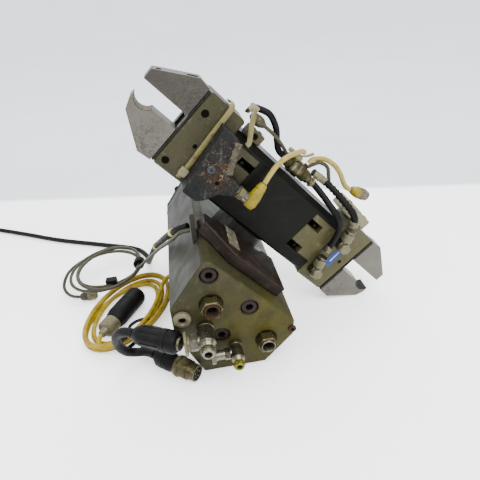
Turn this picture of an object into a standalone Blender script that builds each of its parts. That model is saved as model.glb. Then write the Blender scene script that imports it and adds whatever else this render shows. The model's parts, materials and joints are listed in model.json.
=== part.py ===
"""A twin gripper swivel head: a prism base, a swivelling carrier and two grippers, with hoses and leads.

Frame: +Z up, Y along the base from its port face (low Y) to its rear cover (high Y).
The origin is the centre of the flat underside. Lengths are in millimetres, and MM turns them into metres.
Parts on the slope are placed by slope coordinates: u down the slope from its top edge, w off the slope and
n back from the port face. In the swivel frame, X is u, Y is n and Z is w, measured from the swivel's axis.
"""
import bmesh
import bpy
import math
from mathutils import Vector

MM = 0.001
GAP = 0.3

# Base: its outline is seen from the port face.
INCLINE = math.radians(47.5)
FOOT_WIDTH = 53.0
BODY_LENGTH = 188.0
COVER_THICKNESS = 8.0
TOE_OUT = 25.3
TOE_HEIGHT = 27.0
SHOULDER_HEIGHT = 42.0
SLOPE_LENGTH = 93.0
APEX_FLAT = 6.3
LEFT_INCLINE = math.radians(53.0)
LEFT_LENGTH = 48.0
LEFT_FLANK = 26.5
FRONT = -BODY_LENGTH / 2
REAR = BODY_LENGTH / 2

# Swivel drive: a pinion between two racks, which a half turn moves by half the pinion's circumference.
SWIVEL_U = 38.7
SWIVEL_N = 85.0
PINION_RADIUS = 12.0
PINION_DEPTH = 48.0
FLANGE_RADIUS = 24.0
RACK_RADIUS = 10.7
RACK_LENGTH = 84.0
RACK_OFFSET = 20.0
RACK_DEPTH = 34.0
RACK_STROKE = math.pi * PINION_RADIUS
RACK_START = 24.0

# Carrier and its end blocks, in the swivel frame.
CARRIER_HALF = 68.0
CARRIER_LOW = 17.5
CARRIER_HIGH = 76.5
CARRIER_FRONT = -20.0
CARRIER_BACK = 20.0
CARRIER_CHAMFER = 5.0
BLOCK_START = 37.0
POCKET_LENGTH = 15.0
POCKET_WIDTH = 7.0
POCKET_DEPTH = 8.0
BLOCK_LOW = 30.0
BLOCK_HIGH = 69.0

# Grippers, in the swivel frame.
GRIPPER_START = 68.3
GRIPPER_END = 102.7
GRIPPER_LOW = 14.5
GRIPPER_HIGH = 84.5
GRIPPER_DEPTH = 32.0
GRIPPER_BACK = CARRIER_FRONT + GRIPPER_DEPTH
GRIPPER_MIDDLE = (CARRIER_FRONT + GRIPPER_BACK) / 2
GUIDE_DEPTH = 12.0
JAW_WIDTH = 13.4
JAW_PROUD = 2.2
PISTON_RADIUS = 13.0
FINGER_LENGTH = 41.7
FINGER_DEPTH = 16.0
UPPER_GRIP = 59.0
LOWER_GRIP = 45.5
NOTCH_MIDDLE = 32.5
NOTCH_RADIUS = 9.3
NOTCH_DEPTH = 5.5

# Diameters of the cords that lie free, and of the hoses and leads that the carrier holds.
BLACK_CORD = 6.0
GREY_CORD = 3.4
YELLOW_CORD = 4.6
SHORT_CORD = 8.0
HOSE_1_DIAMETER = 5.4
HOSE_2_DIAMETER = 6.0
HOSE_3_DIAMETER = 6.4
LEAD_DIAMETER = 4.4
THIN_LEAD_DIAMETER = 3.0

# Looks: base colour, roughness, metallic.
OLIVE = ((0.26, 0.25, 0.13), 0.45, 0.6)
BLACK_ANODISED = ((0.035, 0.035, 0.035), 0.4, 0.5)
BARE_ALUMINIUM = ((0.55, 0.54, 0.52), 0.45, 0.9)
DARK_STEEL = ((0.09, 0.085, 0.08), 0.5, 0.8)
RUSTY_STEEL = ((0.16, 0.09, 0.06), 0.75, 0.4)
NICKEL = ((0.7, 0.68, 0.6), 0.25, 1.0)
BLACK_RUBBER = ((0.02, 0.02, 0.02), 0.55, 0.0)
GREY_PLASTIC = ((0.35, 0.34, 0.27), 0.5, 0.0)
YELLOW_PLASTIC = ((0.75, 0.52, 0.06), 0.4, 0.0)
CREAM_PLASTIC = ((0.72, 0.68, 0.5), 0.5, 0.0)


# --- Builders ---------------------------------------------------------------------------------------

def clear_scene():
    for obj in list(bpy.data.objects):
        bpy.data.objects.remove(obj, do_unlink=True)


def finish(obj, look, parent=None, smooth_angle=40):
    """Gives the object a Principled material of its own, smooth shading and its parent."""
    colour, roughness, metallic = look
    mat = bpy.data.materials.new(obj.name)
    mat.use_nodes = True
    shader = mat.node_tree.nodes["Principled BSDF"]
    shader.inputs["Base Color"].default_value = (*colour, 1.0)
    shader.inputs["Roughness"].default_value = roughness
    shader.inputs["Metallic"].default_value = metallic
    obj.data.materials.append(mat)
    if obj.type == "MESH":
        obj.data.shade_smooth()
        obj.data.set_sharp_from_angle(angle=math.radians(smooth_angle))
    if parent is not None:
        obj.parent = parent
    return obj


def mesh_object(name, bm):
    """Turns a bmesh in millimetres into an object in metres."""
    bmesh.ops.recalc_face_normals(bm, faces=bm.faces)
    bmesh.ops.scale(bm, vec=(MM, MM, MM), verts=bm.verts)
    mesh = bpy.data.meshes.new(name)
    bm.to_mesh(mesh)
    bm.free()
    obj = bpy.data.objects.new(name, mesh)
    bpy.context.scene.collection.objects.link(obj)
    return obj


def prism(name, outline, axis, low, high, bevel=0.0):
    """An outline in the two axes other than axis, drawn out along it from low to high."""
    places = {
        "X": lambda p, d: (d, p[0], p[1]),
        "Y": lambda p, d: (p[0], d, p[1]),
        "Z": lambda p, d: (*p, d),
    }
    place = places[axis]
    bm = bmesh.new()
    ring = [bm.verts.new(place(point, low)) for point in outline]
    face = bm.faces.new(ring)
    grown = bmesh.ops.extrude_face_region(bm, geom=[face])
    moved = [item for item in grown["geom"] if isinstance(item, bmesh.types.BMVert)]
    bmesh.ops.translate(bm, vec=place((0, 0), high - low), verts=moved)
    if bevel:
        edges = list(bm.edges)
        bmesh.ops.bevel(bm, geom=edges, offset=bevel, segments=1, affect="EDGES", clamp_overlap=True)
    return mesh_object(name, bm)


def box(name, low, high, bevel=0.0):
    """A block between two corners, with chamfered edges."""
    outline = [(low[0], low[2]), (high[0], low[2]), (high[0], high[2]), (low[0], high[2])]
    return prism(name, outline, "Y", low[1], high[1], bevel)


def turned(name, profile, sides=24):
    """A profile of (radius, height), from the axis back to the axis, turned about Z."""
    bm = bmesh.new()
    rings = []
    for radius, height in profile:
        if radius == 0:
            rings.append([bm.verts.new((0, 0, height))])
            continue
        ring = []
        for step in range(sides):
            angle = 2 * math.pi * step / sides
            ring.append(bm.verts.new((radius * math.cos(angle), radius * math.sin(angle), height)))
        rings.append(ring)
    for below, above in zip(rings, rings[1:]):
        for step in range(sides):
            after = (step + 1) % sides
            corners = [below[step % len(below)], below[after % len(below)]]
            corners += [above[after % len(above)], above[step % len(above)]]
            bm.faces.new(list(dict.fromkeys(corners)))
    return mesh_object(name, bm)


def cylinder(name, radius, low, high, sides=24):
    return turned(name, [(0, low), (radius, low), (radius, high), (0, high)], sides)


def aim(obj, start, direction):
    """Puts the object's origin at start, with its Z axis along direction."""
    obj.location = Vector(start) * MM
    obj.rotation_mode = "QUATERNION"
    obj.rotation_quaternion = Vector(direction).to_track_quat("Z", "Y")
    return obj


def combine(obj, other, operation):
    """Adds an exact Boolean with a hidden second object."""
    other.hide_render = True
    other.display_type = "WIRE"
    modifier = obj.modifiers.new(operation.lower(), "BOOLEAN")
    modifier.operation = operation
    modifier.solver = "EXACT"
    modifier.object = other


def cut(obj, other, parent=None):
    if parent is not None:
        other.parent = parent
    combine(obj, other, "DIFFERENCE")


def join(obj, other, parent=None):
    if parent is not None:
        other.parent = parent
    combine(obj, other, "UNION")


def smooth_route(points, spacing):
    """Evenly spaced points on a smooth curve through the given points."""
    knots = [Vector(p) for p in points]
    padded = [2 * knots[0] - knots[1], *knots, 2 * knots[-1] - knots[-2]]
    fine = []
    for p0, p1, p2, p3 in zip(padded, padded[1:], padded[2:], padded[3:]):
        for step in range(20):
            t = step / 20
            bend = (2 * p0 - 5 * p1 + 4 * p2 - p3) * t**2 + (3 * p1 - p0 - 3 * p2 + p3) * t**3
            fine.append(0.5 * (2 * p1 + (p2 - p0) * t + bend))
    fine.append(knots[-1])
    lengths = [0.0]
    for before, after in zip(fine, fine[1:]):
        lengths.append(lengths[-1] + (after - before).length)
    count = max(2, round(lengths[-1] / spacing))
    even = []
    position = 0
    for step in range(count + 1):
        target = lengths[-1] * step / count
        while position < len(fine) - 2 and lengths[position + 1] < target:
            position += 1
        span = lengths[position + 1] - lengths[position]
        share = min(max((target - lengths[position]) / span, 0.0), 1.0)
        even.append(fine[position].lerp(fine[position + 1], share))
    return even


def tube(name, points, diameter, per_point=2.5):
    """A round cord along a smooth route, closed at both ends, with a point every few diameters."""
    route = smooth_route(points, diameter * per_point)
    curve = bpy.data.curves.new(name, "CURVE")
    curve.dimensions = "3D"
    curve.bevel_depth = diameter / 2 * MM
    curve.bevel_resolution = 2
    curve.use_fill_caps = True
    spline = curve.splines.new("POLY")
    spline.points.add(len(route) - 1)
    for point, place in zip(spline.points, route):
        point.co = (*(place * MM), 1.0)
    obj = bpy.data.objects.new(name, curve)
    bpy.context.scene.collection.objects.link(obj)
    return obj


def coil(name, centre, radii, turn, size, tilt=0.0, sides=28):
    """A closed ring shaped like a coil. Its middle line is an ellipse of two radii, turned about Z."""
    corners = 8
    thickness, height = size
    bm = bmesh.new()
    rings = []
    for step in range(sides):
        angle = 2 * math.pi * step / sides
        middle = Vector((radii[0] * math.cos(angle), radii[1] * math.sin(angle), 0))
        out = Vector((radii[1] * math.cos(angle), radii[0] * math.sin(angle), 0)).normalized()
        ring = []
        for corner in range(corners):
            around = 2 * math.pi * (corner + 0.5) / corners
            widest = math.cos(math.pi / corners)
            offset = out * (thickness / 2 * math.cos(around) / widest)
            offset.z = height / 2 * math.sin(around) / widest
            ring.append(bm.verts.new(middle + offset))
        rings.append(ring)
    for here, there in zip(rings, rings[1:] + rings[:1]):
        for corner in range(corners):
            after = (corner + 1) % corners
            bm.faces.new((here[corner], there[corner], there[after], here[after]))
    obj = mesh_object(name, bm)
    obj.location = Vector(centre) * MM
    obj.rotation_euler = (tilt, 0, turn)
    return obj


# --- Base outline and slope coordinates -------------------------------------------------------------

def housing_outline():
    """The base's corners in X and Z, from the right end of the foot round to its left end."""
    right = FOOT_WIDTH / 2
    toe = (right + TOE_OUT, TOE_HEIGHT)
    shoulder = (toe[0] + 0.6, SHOULDER_HEIGHT)
    top_x = shoulder[0] - SLOPE_LENGTH * math.cos(INCLINE)
    top_z = shoulder[1] + SLOPE_LENGTH * math.sin(INCLINE)
    apex = (top_x - APEX_FLAT, top_z)
    left_x = apex[0] - LEFT_LENGTH * math.cos(LEFT_INCLINE)
    left_z = apex[1] - LEFT_LENGTH * math.sin(LEFT_INCLINE)
    knee = (left_x, left_z - LEFT_FLANK)
    return [(right, 0.0), toe, shoulder, (top_x, top_z), apex, (left_x, left_z), knee, (-right, 0.0)]


OUTLINE = housing_outline()
TOP = OUTLINE[3]
APEX = OUTLINE[4]
KNEE = OUTLINE[6]
FOOT = OUTLINE[7]


def on_slope(u, w, n):
    """Slope coordinates turned into the object's X, Y and Z."""
    x = TOP[0] + u * math.cos(INCLINE) + w * math.sin(INCLINE)
    z = TOP[1] - u * math.sin(INCLINE) + w * math.cos(INCLINE)
    return Vector((x, FRONT + n, z))


def local(u, w, n):
    """Slope coordinates turned into the swivel frame's X, Y and Z."""
    return Vector((u - SWIVEL_U, n - SWIVEL_N, w))


def slope_empty(name):
    """An empty on the swivel's axis, with its Z square off the slope."""
    empty = bpy.data.objects.new(name, None)
    empty.location = on_slope(SWIVEL_U, 0, SWIVEL_N) * MM
    empty.rotation_euler = (0, INCLINE, 0)
    bpy.context.scene.collection.objects.link(empty)
    return empty


# --- Base -------------------------------------------------------------------------------------------

SCREWS = ((-12.9, 99.0), (15.7, 62.9), (-8.7, 38.8))
FITTINGS = ((-13.9, 72.6, 8.9), (27.8, 27.1, 8.6))
RING_PLUG = (-37.4, 63.3)
ELBOW_1 = (-21.0, 50.3)
ELBOW_2 = (1.4, 26.3)
SCREW_RADIUS = 6.5
SOCKET_RADIUS = 3.3
SOCKET_DEPTH = 5.0
FITTING_LENGTH = 9.0
RING_PLUG_RADIUS = 7.0
PLATE_HEIGHT = 10.3
PLATE_OUTLINE = ((20, 17.5), (77, 17.5), (77, 66), (63, 66), (57, 59.5), (20, 59.5), (-9, 53), (-9, 37))
CLAMP_THICKNESS = 4.0
CLAMP_TOP = 122.5
CLAMP_START = 36.0
CLAMP_LENGTH = 20.0
COUNTERBORE_RADIUS = 7.2
COUNTERBORE_DEPTH = 9.0
COUPLING_START = (-38.5, -109.0, 50.3)
COUPLING_LINE = (-0.88, 0.475, 0.0)
GLAND_HEIGHT = 26.0
GLAND_Y = 26.0


def port_face_piece(obj, place):
    """Stands a turned piece on the port face, pointing out of it."""
    return aim(obj, (place[0], FRONT, place[1]), (0, -1, 0))


def housing_part(slope):
    body = prism("housing", OUTLINE, "Y", FRONT, REAR - COVER_THICKNESS - GAP, bevel=1.2)
    finish(body, OLIVE)
    for number, side in enumerate((-1, 1), start=1):
        bore = cylinder(f"rack_bore_{number}", RACK_RADIUS + GAP, 16, BODY_LENGTH)
        cut(body, aim(bore, on_slope(SWIVEL_U + side * RACK_OFFSET, -RACK_DEPTH, 0), (0, 1, 0)))
    shaft_bore = cylinder("shaft_bore", PINION_RADIUS + GAP, -PINION_DEPTH - 2, 5)
    cut(body, shaft_bore, slope)
    for number, place in enumerate(SCREWS, start=1):
        counterbore = cylinder(f"counterbore_{number}", COUNTERBORE_RADIUS, -COUNTERBORE_DEPTH, 2)
        cut(body, port_face_piece(counterbore, place))


def port_face_parts():
    bottom = GAP - COUNTERBORE_DEPTH
    for number, place in enumerate(SCREWS, start=1):
        profile = [(0, bottom), (SCREW_RADIUS, bottom), (SCREW_RADIUS, -1.2), (SCREW_RADIUS - 0.6, -0.6)]
        profile.append((0, -0.6))
        screw = port_face_piece(turned(f"cap_screw_{number}", profile, 20), place)
        socket = cylinder(f"screw_socket_{number}", SOCKET_RADIUS, -SOCKET_DEPTH, 2, sides=6)
        cut(screw, port_face_piece(socket, place))
        finish(screw, RUSTY_STEEL)
    for number, (x, z, radius) in enumerate(FITTINGS, start=1):
        hexagon = cylinder(f"port_fitting_{number}", radius, GAP, FITTING_LENGTH, sides=6)
        fitting = port_face_piece(hexagon, (x, z))
        mouth = FITTING_LENGTH + 1
        bore = turned(f"fitting_bore_{number}", [(0, 3), (4.2, 3), (5.0, mouth), (0, mouth)], 16)
        cut(fitting, port_face_piece(bore, (x, z)))
        finish(fitting, NICKEL)
    rim = RING_PLUG_RADIUS
    profile = [(0, GAP), (rim, GAP), (rim, 3.5), (rim - 1.0, 4.5), (rim - 4.0, 4.5), (rim - 4.6, 1.5)]
    profile.append((0, 1.5))
    finish(port_face_piece(turned("ring_plug", profile, 24), RING_PLUG), NICKEL)
    elbow("elbow_fitting_1", ELBOW_1, radius=7.0, reach=20.0, leg_at=15.0, leg_length=17.0, leg_radius=6.4)
    elbow("elbow_fitting_2", ELBOW_2, radius=5.4, reach=17.0, leg_at=9.0, leg_length=21.0, leg_radius=4.6)


def elbow(name, place, radius, reach, leg_at, leg_length, leg_radius):
    """A fitting that stands out of the port face, with a threaded tip and a flanged leg to the left."""
    nose = radius * 0.75
    tip = reach + 1.5 * radius
    profile = [(0, GAP), (radius, GAP), (radius, reach), (nose, reach), (nose, tip)]
    profile += [(nose * 0.5, tip), (nose * 0.5, tip - 7), (0, tip - 7)]
    body = port_face_piece(turned(name, profile, 20), place)
    flange = leg_radius * 1.5
    leg_profile = [(0, 0), (leg_radius, 0), (leg_radius, leg_length - 3), (flange, leg_length - 3)]
    leg_profile += [(flange, leg_length), (0, leg_length)]
    leg = turned(name + "_leg", leg_profile, 20)
    join(body, aim(leg, (place[0], FRONT - leg_at, place[1]), (-1, 0, 0)))
    finish(body, NICKEL)


def base_side_parts(slope):
    """The rear cover, the plate and clamp on the slope, the hose coupling and the yellow lead's gland."""
    cover = prism("rear_cover", OUTLINE, "Y", REAR - COVER_THICKNESS, REAR, bevel=1.2)
    finish(cover, DARK_STEEL)
    placed = [local(u, 0, n).to_2d() for u, n in PLATE_OUTLINE]
    plate = prism("cover_plate", placed, "Z", GAP, PLATE_HEIGHT, bevel=0.8)
    finish(plate, RUSTY_STEEL, slope)
    right = APEX[0] - 0.4
    left = right - CLAMP_THICKNESS
    outline = [(right, CLAMP_TOP), (left, CLAMP_TOP), (left, APEX[1] - 5.0), (right, APEX[1] + 0.4)]
    start = FRONT + CLAMP_START
    clamp = prism("cable_clamp", outline, "Y", start, start + CLAMP_LENGTH)
    finish(clamp, RUSTY_STEEL)
    profile = [(0, 4.2), (7.5, 4.2), (9.2, 6.2), (9.2, 18), (8.6, 20), (8.6, 37), (6.0, 43), (0, 43)]
    coupling = aim(turned("hose_coupling", profile, 24), COUPLING_START, COUPLING_LINE)
    finish(coupling, BLACK_RUBBER)
    profile = [(0, GAP), (6.0, GAP), (6.0, 5), (4.2, 11), (0, 11)]
    foot, knee = Vector((FOOT[0], 0, FOOT[1])), Vector((KNEE[0], 0, KNEE[1]))
    place = foot.lerp(knee, GLAND_HEIGHT / knee.z)
    out = Vector((foot.z - knee.z, 0, knee.x - foot.x))
    gland = aim(turned("cable_gland", profile, 16), (place.x, GLAND_Y, place.z), out)
    finish(gland, BLACK_RUBBER)


def swivel_drive(slope):
    """The pinion shaft with its flange, and the two rack pistons beside it."""
    profile = [(0, -PINION_DEPTH), (PINION_RADIUS, -PINION_DEPTH), (PINION_RADIUS, GAP)]
    profile += [(FLANGE_RADIUS, GAP), (FLANGE_RADIUS, CARRIER_LOW - GAP), (0, CARRIER_LOW - GAP)]
    finish(turned("pinion_shaft", profile, 32), DARK_STEEL, slope)
    flat = RACK_OFFSET - PINION_RADIUS - GAP
    half_flat = math.acos(flat / RACK_RADIUS)
    steps = 18
    for number, side in enumerate((-1, 1), start=1):
        outline = []
        for step in range(steps + 1):
            angle = half_flat + (2 * math.pi - 2 * half_flat) * step / steps
            across = side * (RACK_OFFSET - RACK_RADIUS * math.cos(angle))
            outline.append((across, RACK_RADIUS * math.sin(angle) - RACK_DEPTH))
        start = RACK_START - SWIVEL_N + (RACK_STROKE if side < 0 else 0)
        finish(prism(f"rack_piston_{number}", outline, "Y", start, start + RACK_LENGTH), DARK_STEEL, slope)


# --- Swivelling carrier -----------------------------------------------------------------------------

def carrier_parts(swivel):
    low, high = CARRIER_LOW, CARRIER_HIGH
    front, back = CARRIER_FRONT, CARRIER_BACK
    edge = CARRIER_CHAMFER
    outline = [(front, low + 2), (front + 2, low), (back - 2, low), (back, low + 2)]
    outline += [(back, high - edge), (back - edge, high), (front + edge, high), (front, high - edge)]
    body = prism("carrier", outline, "X", -CARRIER_HALF, CARRIER_HALF)
    finish(body, BLACK_ANODISED, swivel)
    for number, side in enumerate((-1, 1), start=1):
        near, far = sorted((side * (BLOCK_START - GAP), side * (CARRIER_HALF + 5)))
        corner, opposite = (near, front - 5, BLOCK_LOW - GAP), (far, back + 5, BLOCK_HIGH + GAP)
        cut(body, box(f"end_slot_{number}", corner, opposite), swivel)
        end_block(swivel, number, side)


def end_block(swivel, number, side):
    """The block in a fork end of the carrier, with screw pockets at its inner corners."""
    front, back = CARRIER_FRONT, CARRIER_BACK
    near, far = sorted((side * BLOCK_START, side * CARRIER_HALF))
    block = box(f"end_block_{number}", (near, front - 0.5, BLOCK_LOW), (far, back + 0.5, BLOCK_HIGH), 0.6)
    finish(block, OLIVE, swivel)
    near, far = sorted((side * (BLOCK_START - 2), side * (BLOCK_START + POCKET_LENGTH)))
    for level in (BLOCK_LOW, BLOCK_HIGH - POCKET_WIDTH - 6):
        for low, high in ((front - 5, front + POCKET_DEPTH), (back - POCKET_DEPTH, back + 5)):
            corner, opposite = (near, low, level), (far, high, level + POCKET_WIDTH)
            cut(block, box(f"pocket_{number}_{level:.0f}_{high:.0f}", corner, opposite), swivel)


BRACKET_OUTLINE = (
    (-44, 73), (-27, 72), (-17, 47.5), (-3, 46.5), (-2, 37), (-12, 31), (-18, 20), (-23, 15), (-36, 15),
)


def bracket_part(swivel):
    """The rusty plate that carries the first lead's plug."""
    placed = [(u - SWIVEL_U, w) for u, w in BRACKET_OUTLINE]
    bracket = prism("sensor_bracket", placed, "Y", 47 - SWIVEL_N, 64.2 - SWIVEL_N, bevel=0.8)
    hole = cylinder("bracket_hole", 1.8, -2, 6, sides=12)
    cut(bracket, aim(hole, local(-20, 37.5, 47), (0, 1, 0)), swivel)
    finish(bracket, RUSTY_STEEL, swivel)


HOSE_1 = (
    (-31.5, 95.2, 79), (-26, 98, 78), (-16, 101, 77), (-4, 97, 78), (5, 90, 79.5), (12, 85.3, 80),
    (20.4, 84.6, 80),
)
HOSE_2 = (
    (52.9, 84.6, 80), (60, 84.6, 79.8), (66, 84, 74), (75, 82.5, 65), (88, 79.5, 58), (98, 73, 57),
    (104, 62, 57.5), (107.2, 49.5, 58),
)
HOSE_3 = (
    (53.2, 91.5, 86), (59, 92.2, 84.5), (69, 93.5, 75), (82, 93, 67), (95, 91.5, 60.5), (103, 88.3, 58),
    (107.4, 83, 58),
)
YELLOW_LEAD_1 = (
    (12.9, 60.1, 55.6), (12, 67, 57), (11.5, 76, 59), (14, 85, 63), (20, 92.8, 69), (26, 97.8, 75),
    (31, 98.7, 81),
)
YELLOW_LEAD_2 = (
    (43, 94.6, 84), (44, 100, 84.5), (52, 106.5, 85), (62, 108.8, 83.5), (71, 107.5, 81), (80, 103.6, 79),
    (85, 102.6, 78), (88.8, 103.5, 78),
)
GREY_LEAD = ((-13.9, 92, 71), (-4, 92.2, 70), (8, 90.5, 71), (19.5, 87.5, 75.5))
DISTRIBUTOR_START = (21, 84.6, 80)
DISTRIBUTOR_LENGTH = 31.0
DISTRIBUTOR_RADIUS = 7.0
BANJO_U = 117.0
BANJO_HEIGHTS = (28.0, 63.0)


def held_tube(swivel, name, points, diameter, look):
    """A hose or lead that the carrier holds, its route given in slope coordinates."""
    finish(tube(name, [local(*p) for p in points], diameter, per_point=1.4), look, swivel)


def between(swivel, name, start, end, steps, look, sides=16):
    """A turned piece between two points in slope coordinates, its steps in radius and share of length."""
    first, last = local(*start), local(*end)
    length = (last - first).length
    profile = [(0, steps[0][1] * length)] + [(radius, share * length) for radius, share in steps]
    profile.append((0, steps[-1][1] * length))
    finish(aim(turned(name, profile, sides), first, last - first), look, swivel)


def dress_parts(swivel):
    """The distributor, hoses, leads and sensors that the carrier holds."""
    barrel = cylinder("distributor", DISTRIBUTOR_RADIUS, 0, DISTRIBUTOR_LENGTH, sides=16)
    distributor = aim(barrel, local(*DISTRIBUTOR_START), (1, 0, 0))
    ports = ((28, 80, 5.2, 10.5), (43, 84, 3.6, 8.6))
    for number, (u, n, radius, length) in enumerate(ports, start=1):
        port = cylinder(f"distributor_port_{number}", radius, 0, length, sides=12)
        join(distributor, aim(port, local(u, DISTRIBUTOR_START[1], n), (0, 0, 1)), swivel)
    finish(distributor, NICKEL, swivel)

    held_tube(swivel, "hose_1", HOSE_1, HOSE_1_DIAMETER, BLACK_RUBBER)
    held_tube(swivel, "hose_2", HOSE_2, HOSE_2_DIAMETER, BLACK_RUBBER)
    held_tube(swivel, "hose_3", HOSE_3, HOSE_3_DIAMETER, BLACK_RUBBER)
    held_tube(swivel, "yellow_lead_1", YELLOW_LEAD_1, LEAD_DIAMETER, YELLOW_PLASTIC)
    held_tube(swivel, "yellow_lead_2", YELLOW_LEAD_2, LEAD_DIAMETER, YELLOW_PLASTIC)
    held_tube(swivel, "grey_lead", GREY_LEAD, THIN_LEAD_DIAMETER, GREY_PLASTIC)

    steps = [(4.6, 0), (5.2, 0.15), (5.0, 0.6), (3.4, 1)]
    between(swivel, "lead_plug_1", (15, 36.5, 52), (13, 59.5, 55.5), steps, YELLOW_PLASTIC)
    steps = [(4.0, 0), (5.4, 0.2), (5.4, 0.45), (6.2, 0.5), (6.2, 0.95), (5.0, 1)]
    between(swivel, "lead_plug_2", (90, 104, 78), (107, 110, 78), steps, YELLOW_PLASTIC)
    steps = [(2.5, 0), (4.2, 0.2), (4.2, 0.8), (2.2, 1)]
    between(swivel, "inline_sensor", (-29, 91, 71), (-14.5, 92, 71), steps, GREY_PLASTIC)
    block = box("sensor_block", local(-24, CARRIER_HIGH + GAP, 67), local(-8, 85.5, 80), 0.8)
    finish(block, CREAM_PLASTIC, swivel)
    block = box("white_block", local(92, GRIPPER_HIGH + GAP, 70), local(128, 97, 92), 1.0)
    finish(block, CREAM_PLASTIC, swivel)
    for number, w in enumerate(BANJO_HEIGHTS, start=1):
        banjo_part(swivel, number, w)


def banjo_part(swivel, number, w):
    """A banjo fitting on the front of the second gripper, with a leg for a hose."""
    profile = [(0, GAP), (6.0, GAP), (6.0, 9.0), (5.0, 9.0), (5.0, 13.0), (0, 13.0)]
    bolt = aim(turned(f"banjo_fitting_{number}", profile, 12), local(BANJO_U, w, 65), (0, -1, 0))
    leg_start, leg_end = local(BANJO_U, w, 58.6), local(BANJO_U - 9, w + 19, 58)
    leg = aim(cylinder(f"banjo_leg_{number}", 4.6, 0, 18, sides=12), leg_start, leg_end - leg_start)
    join(bolt, leg, swivel)
    finish(bolt, NICKEL, swivel)


# --- Grippers ---------------------------------------------------------------------------------------

def finger_outline(upper):
    """A finger's corners, as distance past the gripper's end and height off the slope."""
    root = JAW_PROUD + GAP
    if upper:
        return [(root, UPPER_GRIP), (FINGER_LENGTH, UPPER_GRIP), (FINGER_LENGTH, 67.5), (12.3, 85.5),
                (root, 84.4)]
    outline = [(root, LOWER_GRIP), (root, 14.6), (14, 13.8), (38.7, 33.4), (FINGER_LENGTH, 42.5),
               (FINGER_LENGTH - 0.6, LOWER_GRIP + 1)]
    rise = NOTCH_RADIUS - NOTCH_DEPTH
    half_arc = math.acos(rise / NOTCH_RADIUS)
    steps = 8
    for step in range(steps + 1):
        angle = half_arc - 2 * half_arc * step / steps
        height = LOWER_GRIP + rise - NOTCH_RADIUS * math.cos(angle)
        outline.append((NOTCH_MIDDLE + NOTCH_RADIUS * math.sin(angle), height))
    return outline


def gripper_parts(swivel, number, side):
    """One gripper: its housing, drive piston, two sliding jaws and their fingers."""
    name = f"gripper_{number}"
    front, back = CARRIER_FRONT, GRIPPER_BACK
    middle, level = GRIPPER_MIDDLE, (GRIPPER_LOW + GRIPPER_HIGH) / 2
    half = JAW_WIDTH / 2
    near, far = sorted((side * GRIPPER_START, side * GRIPPER_END))
    body = box(f"{name}_housing", (near, front, GRIPPER_LOW), (far, back, GRIPPER_HIGH), 1.5)
    finish(body, OLIVE, swivel)
    guide_start = GRIPPER_END - GUIDE_DEPTH
    near, far = sorted((side * guide_start, side * (GRIPPER_END + 5)))
    guide = box(f"{name}_guide_cut", (near, middle - half - GAP, 17.5), (far, middle + half + GAP, 81.5))
    cut(body, guide, swivel)
    bore = cylinder(f"{name}_bore_cut", PISTON_RADIUS + GAP, GRIPPER_START + 3, guide_start + 2)
    cut(body, aim(bore, (0, middle, level), (side, 0, 0)), swivel)
    piston = cylinder(f"{name}_piston", PISTON_RADIUS, GRIPPER_START + 3.5, GRIPPER_START + 12)
    finish(aim(piston, (0, middle, level), (side, 0, 0)), DARK_STEEL, swivel)
    for place, low, high in (("upper", 56.0, 81.2), ("lower", 17.8, 43.0)):
        near, far = sorted((side * (guide_start + GAP), side * (GRIPPER_END + JAW_PROUD)))
        jaw = box(f"{name}_{place}_jaw", (near, middle - half, low), (far, middle + half, high), 0.5)
        finish(jaw, DARK_STEEL, swivel)
        outline = [(side * (GRIPPER_END + distance), w) for distance, w in finger_outline(place == "upper")]
        finger = prism(f"{name}_{place}_finger", outline, "Y", front, front + FINGER_DEPTH)
        finish(finger, BARE_ALUMINIUM, swivel)


# --- Free cords -------------------------------------------------------------------------------------

BLACK_ROUTE = (
    (-23.4, -47, 117), (-30, -46.4, 115.5), (-40, -28, 101), (-51, -2, 80), (-60, 20, 61), (-69, 46, 35),
    (-76, 68, 14.5), (-77, 84, 5.6), (-82, 102, 3.3), (-97, 121, 3.2), (-139, 142, 3.2), (-200, 171, 3.2),
    (-250, 200.5, 3.2), (-299, 228.6, 3.2),
)
GREY_ROUTE = (
    (-22.1, -54, 117), (-30, -53.3, 115.5), (-41, -38, 99.5), (-53, -13, 79), (-63, 8, 60), (-73, 28, 42),
    (-79.8, 37, 31.8), (-84.5, 47.5, 28.6),
)
GREY_TAIL = (
    (-167, 50, 15.2), (-166.5, 43, 12.4), (-163, 37.5, 8.8), (-157, 34, 6.3), (-150.2, 32.85, 5.4),
)
YELLOW_ROUTE = (
    (-48.6, 26, 21.3), (-53.5, 25.5, 19.3), (-58.5, 20.5, 17.2), (-61, 12, 15.6), (-62.5, 3, 15.3),
)
SHORT_ROUTE = (
    (-77.6, -87.9, 50.3), (-84.5, -84.2, 49.7), (-91.8, -79.8, 44.3), (-95.5, -75.5, 34), (-95, -71.8, 22),
    (-90, -68.2, 12), (-82, -66, 7.8), (-74.6, -68, 8.4), (-67.8, -73.8, 9.4),
)

# Each coil's centre, its two middle radii, its turn, and its thickness and height.
BLACK_COIL = ((-345.0, 198.9, 3.4), (36.0, 36.0), 0.0, (30.4, 6.4))
GREY_COIL = ((-124.5, 56.0, 22.0), (36.0, 43.0), 0.0, (15.0, 7.6))
GREY_TILT = math.radians(-4.6)
YELLOW_COIL = ((-97.0, -2.0, 6.5), (53.0, 31.0), math.radians(62), (14.0, 12.4))

# Where each cord's end piece starts, and the way it points.
BLACK_END = ((-356.0, 186.4, 4.8), (1, 0, 0))
GREY_END = ((-149.8, 32.8, 5.4), (0.99, -0.1, 0))
YELLOW_END = ((-118.0, -39.5, 10.7), (0.5, 0.866, 0))
SHORT_END = ((-67.2, -74.3, 9.4), (0.77, -0.638, 0))


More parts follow.
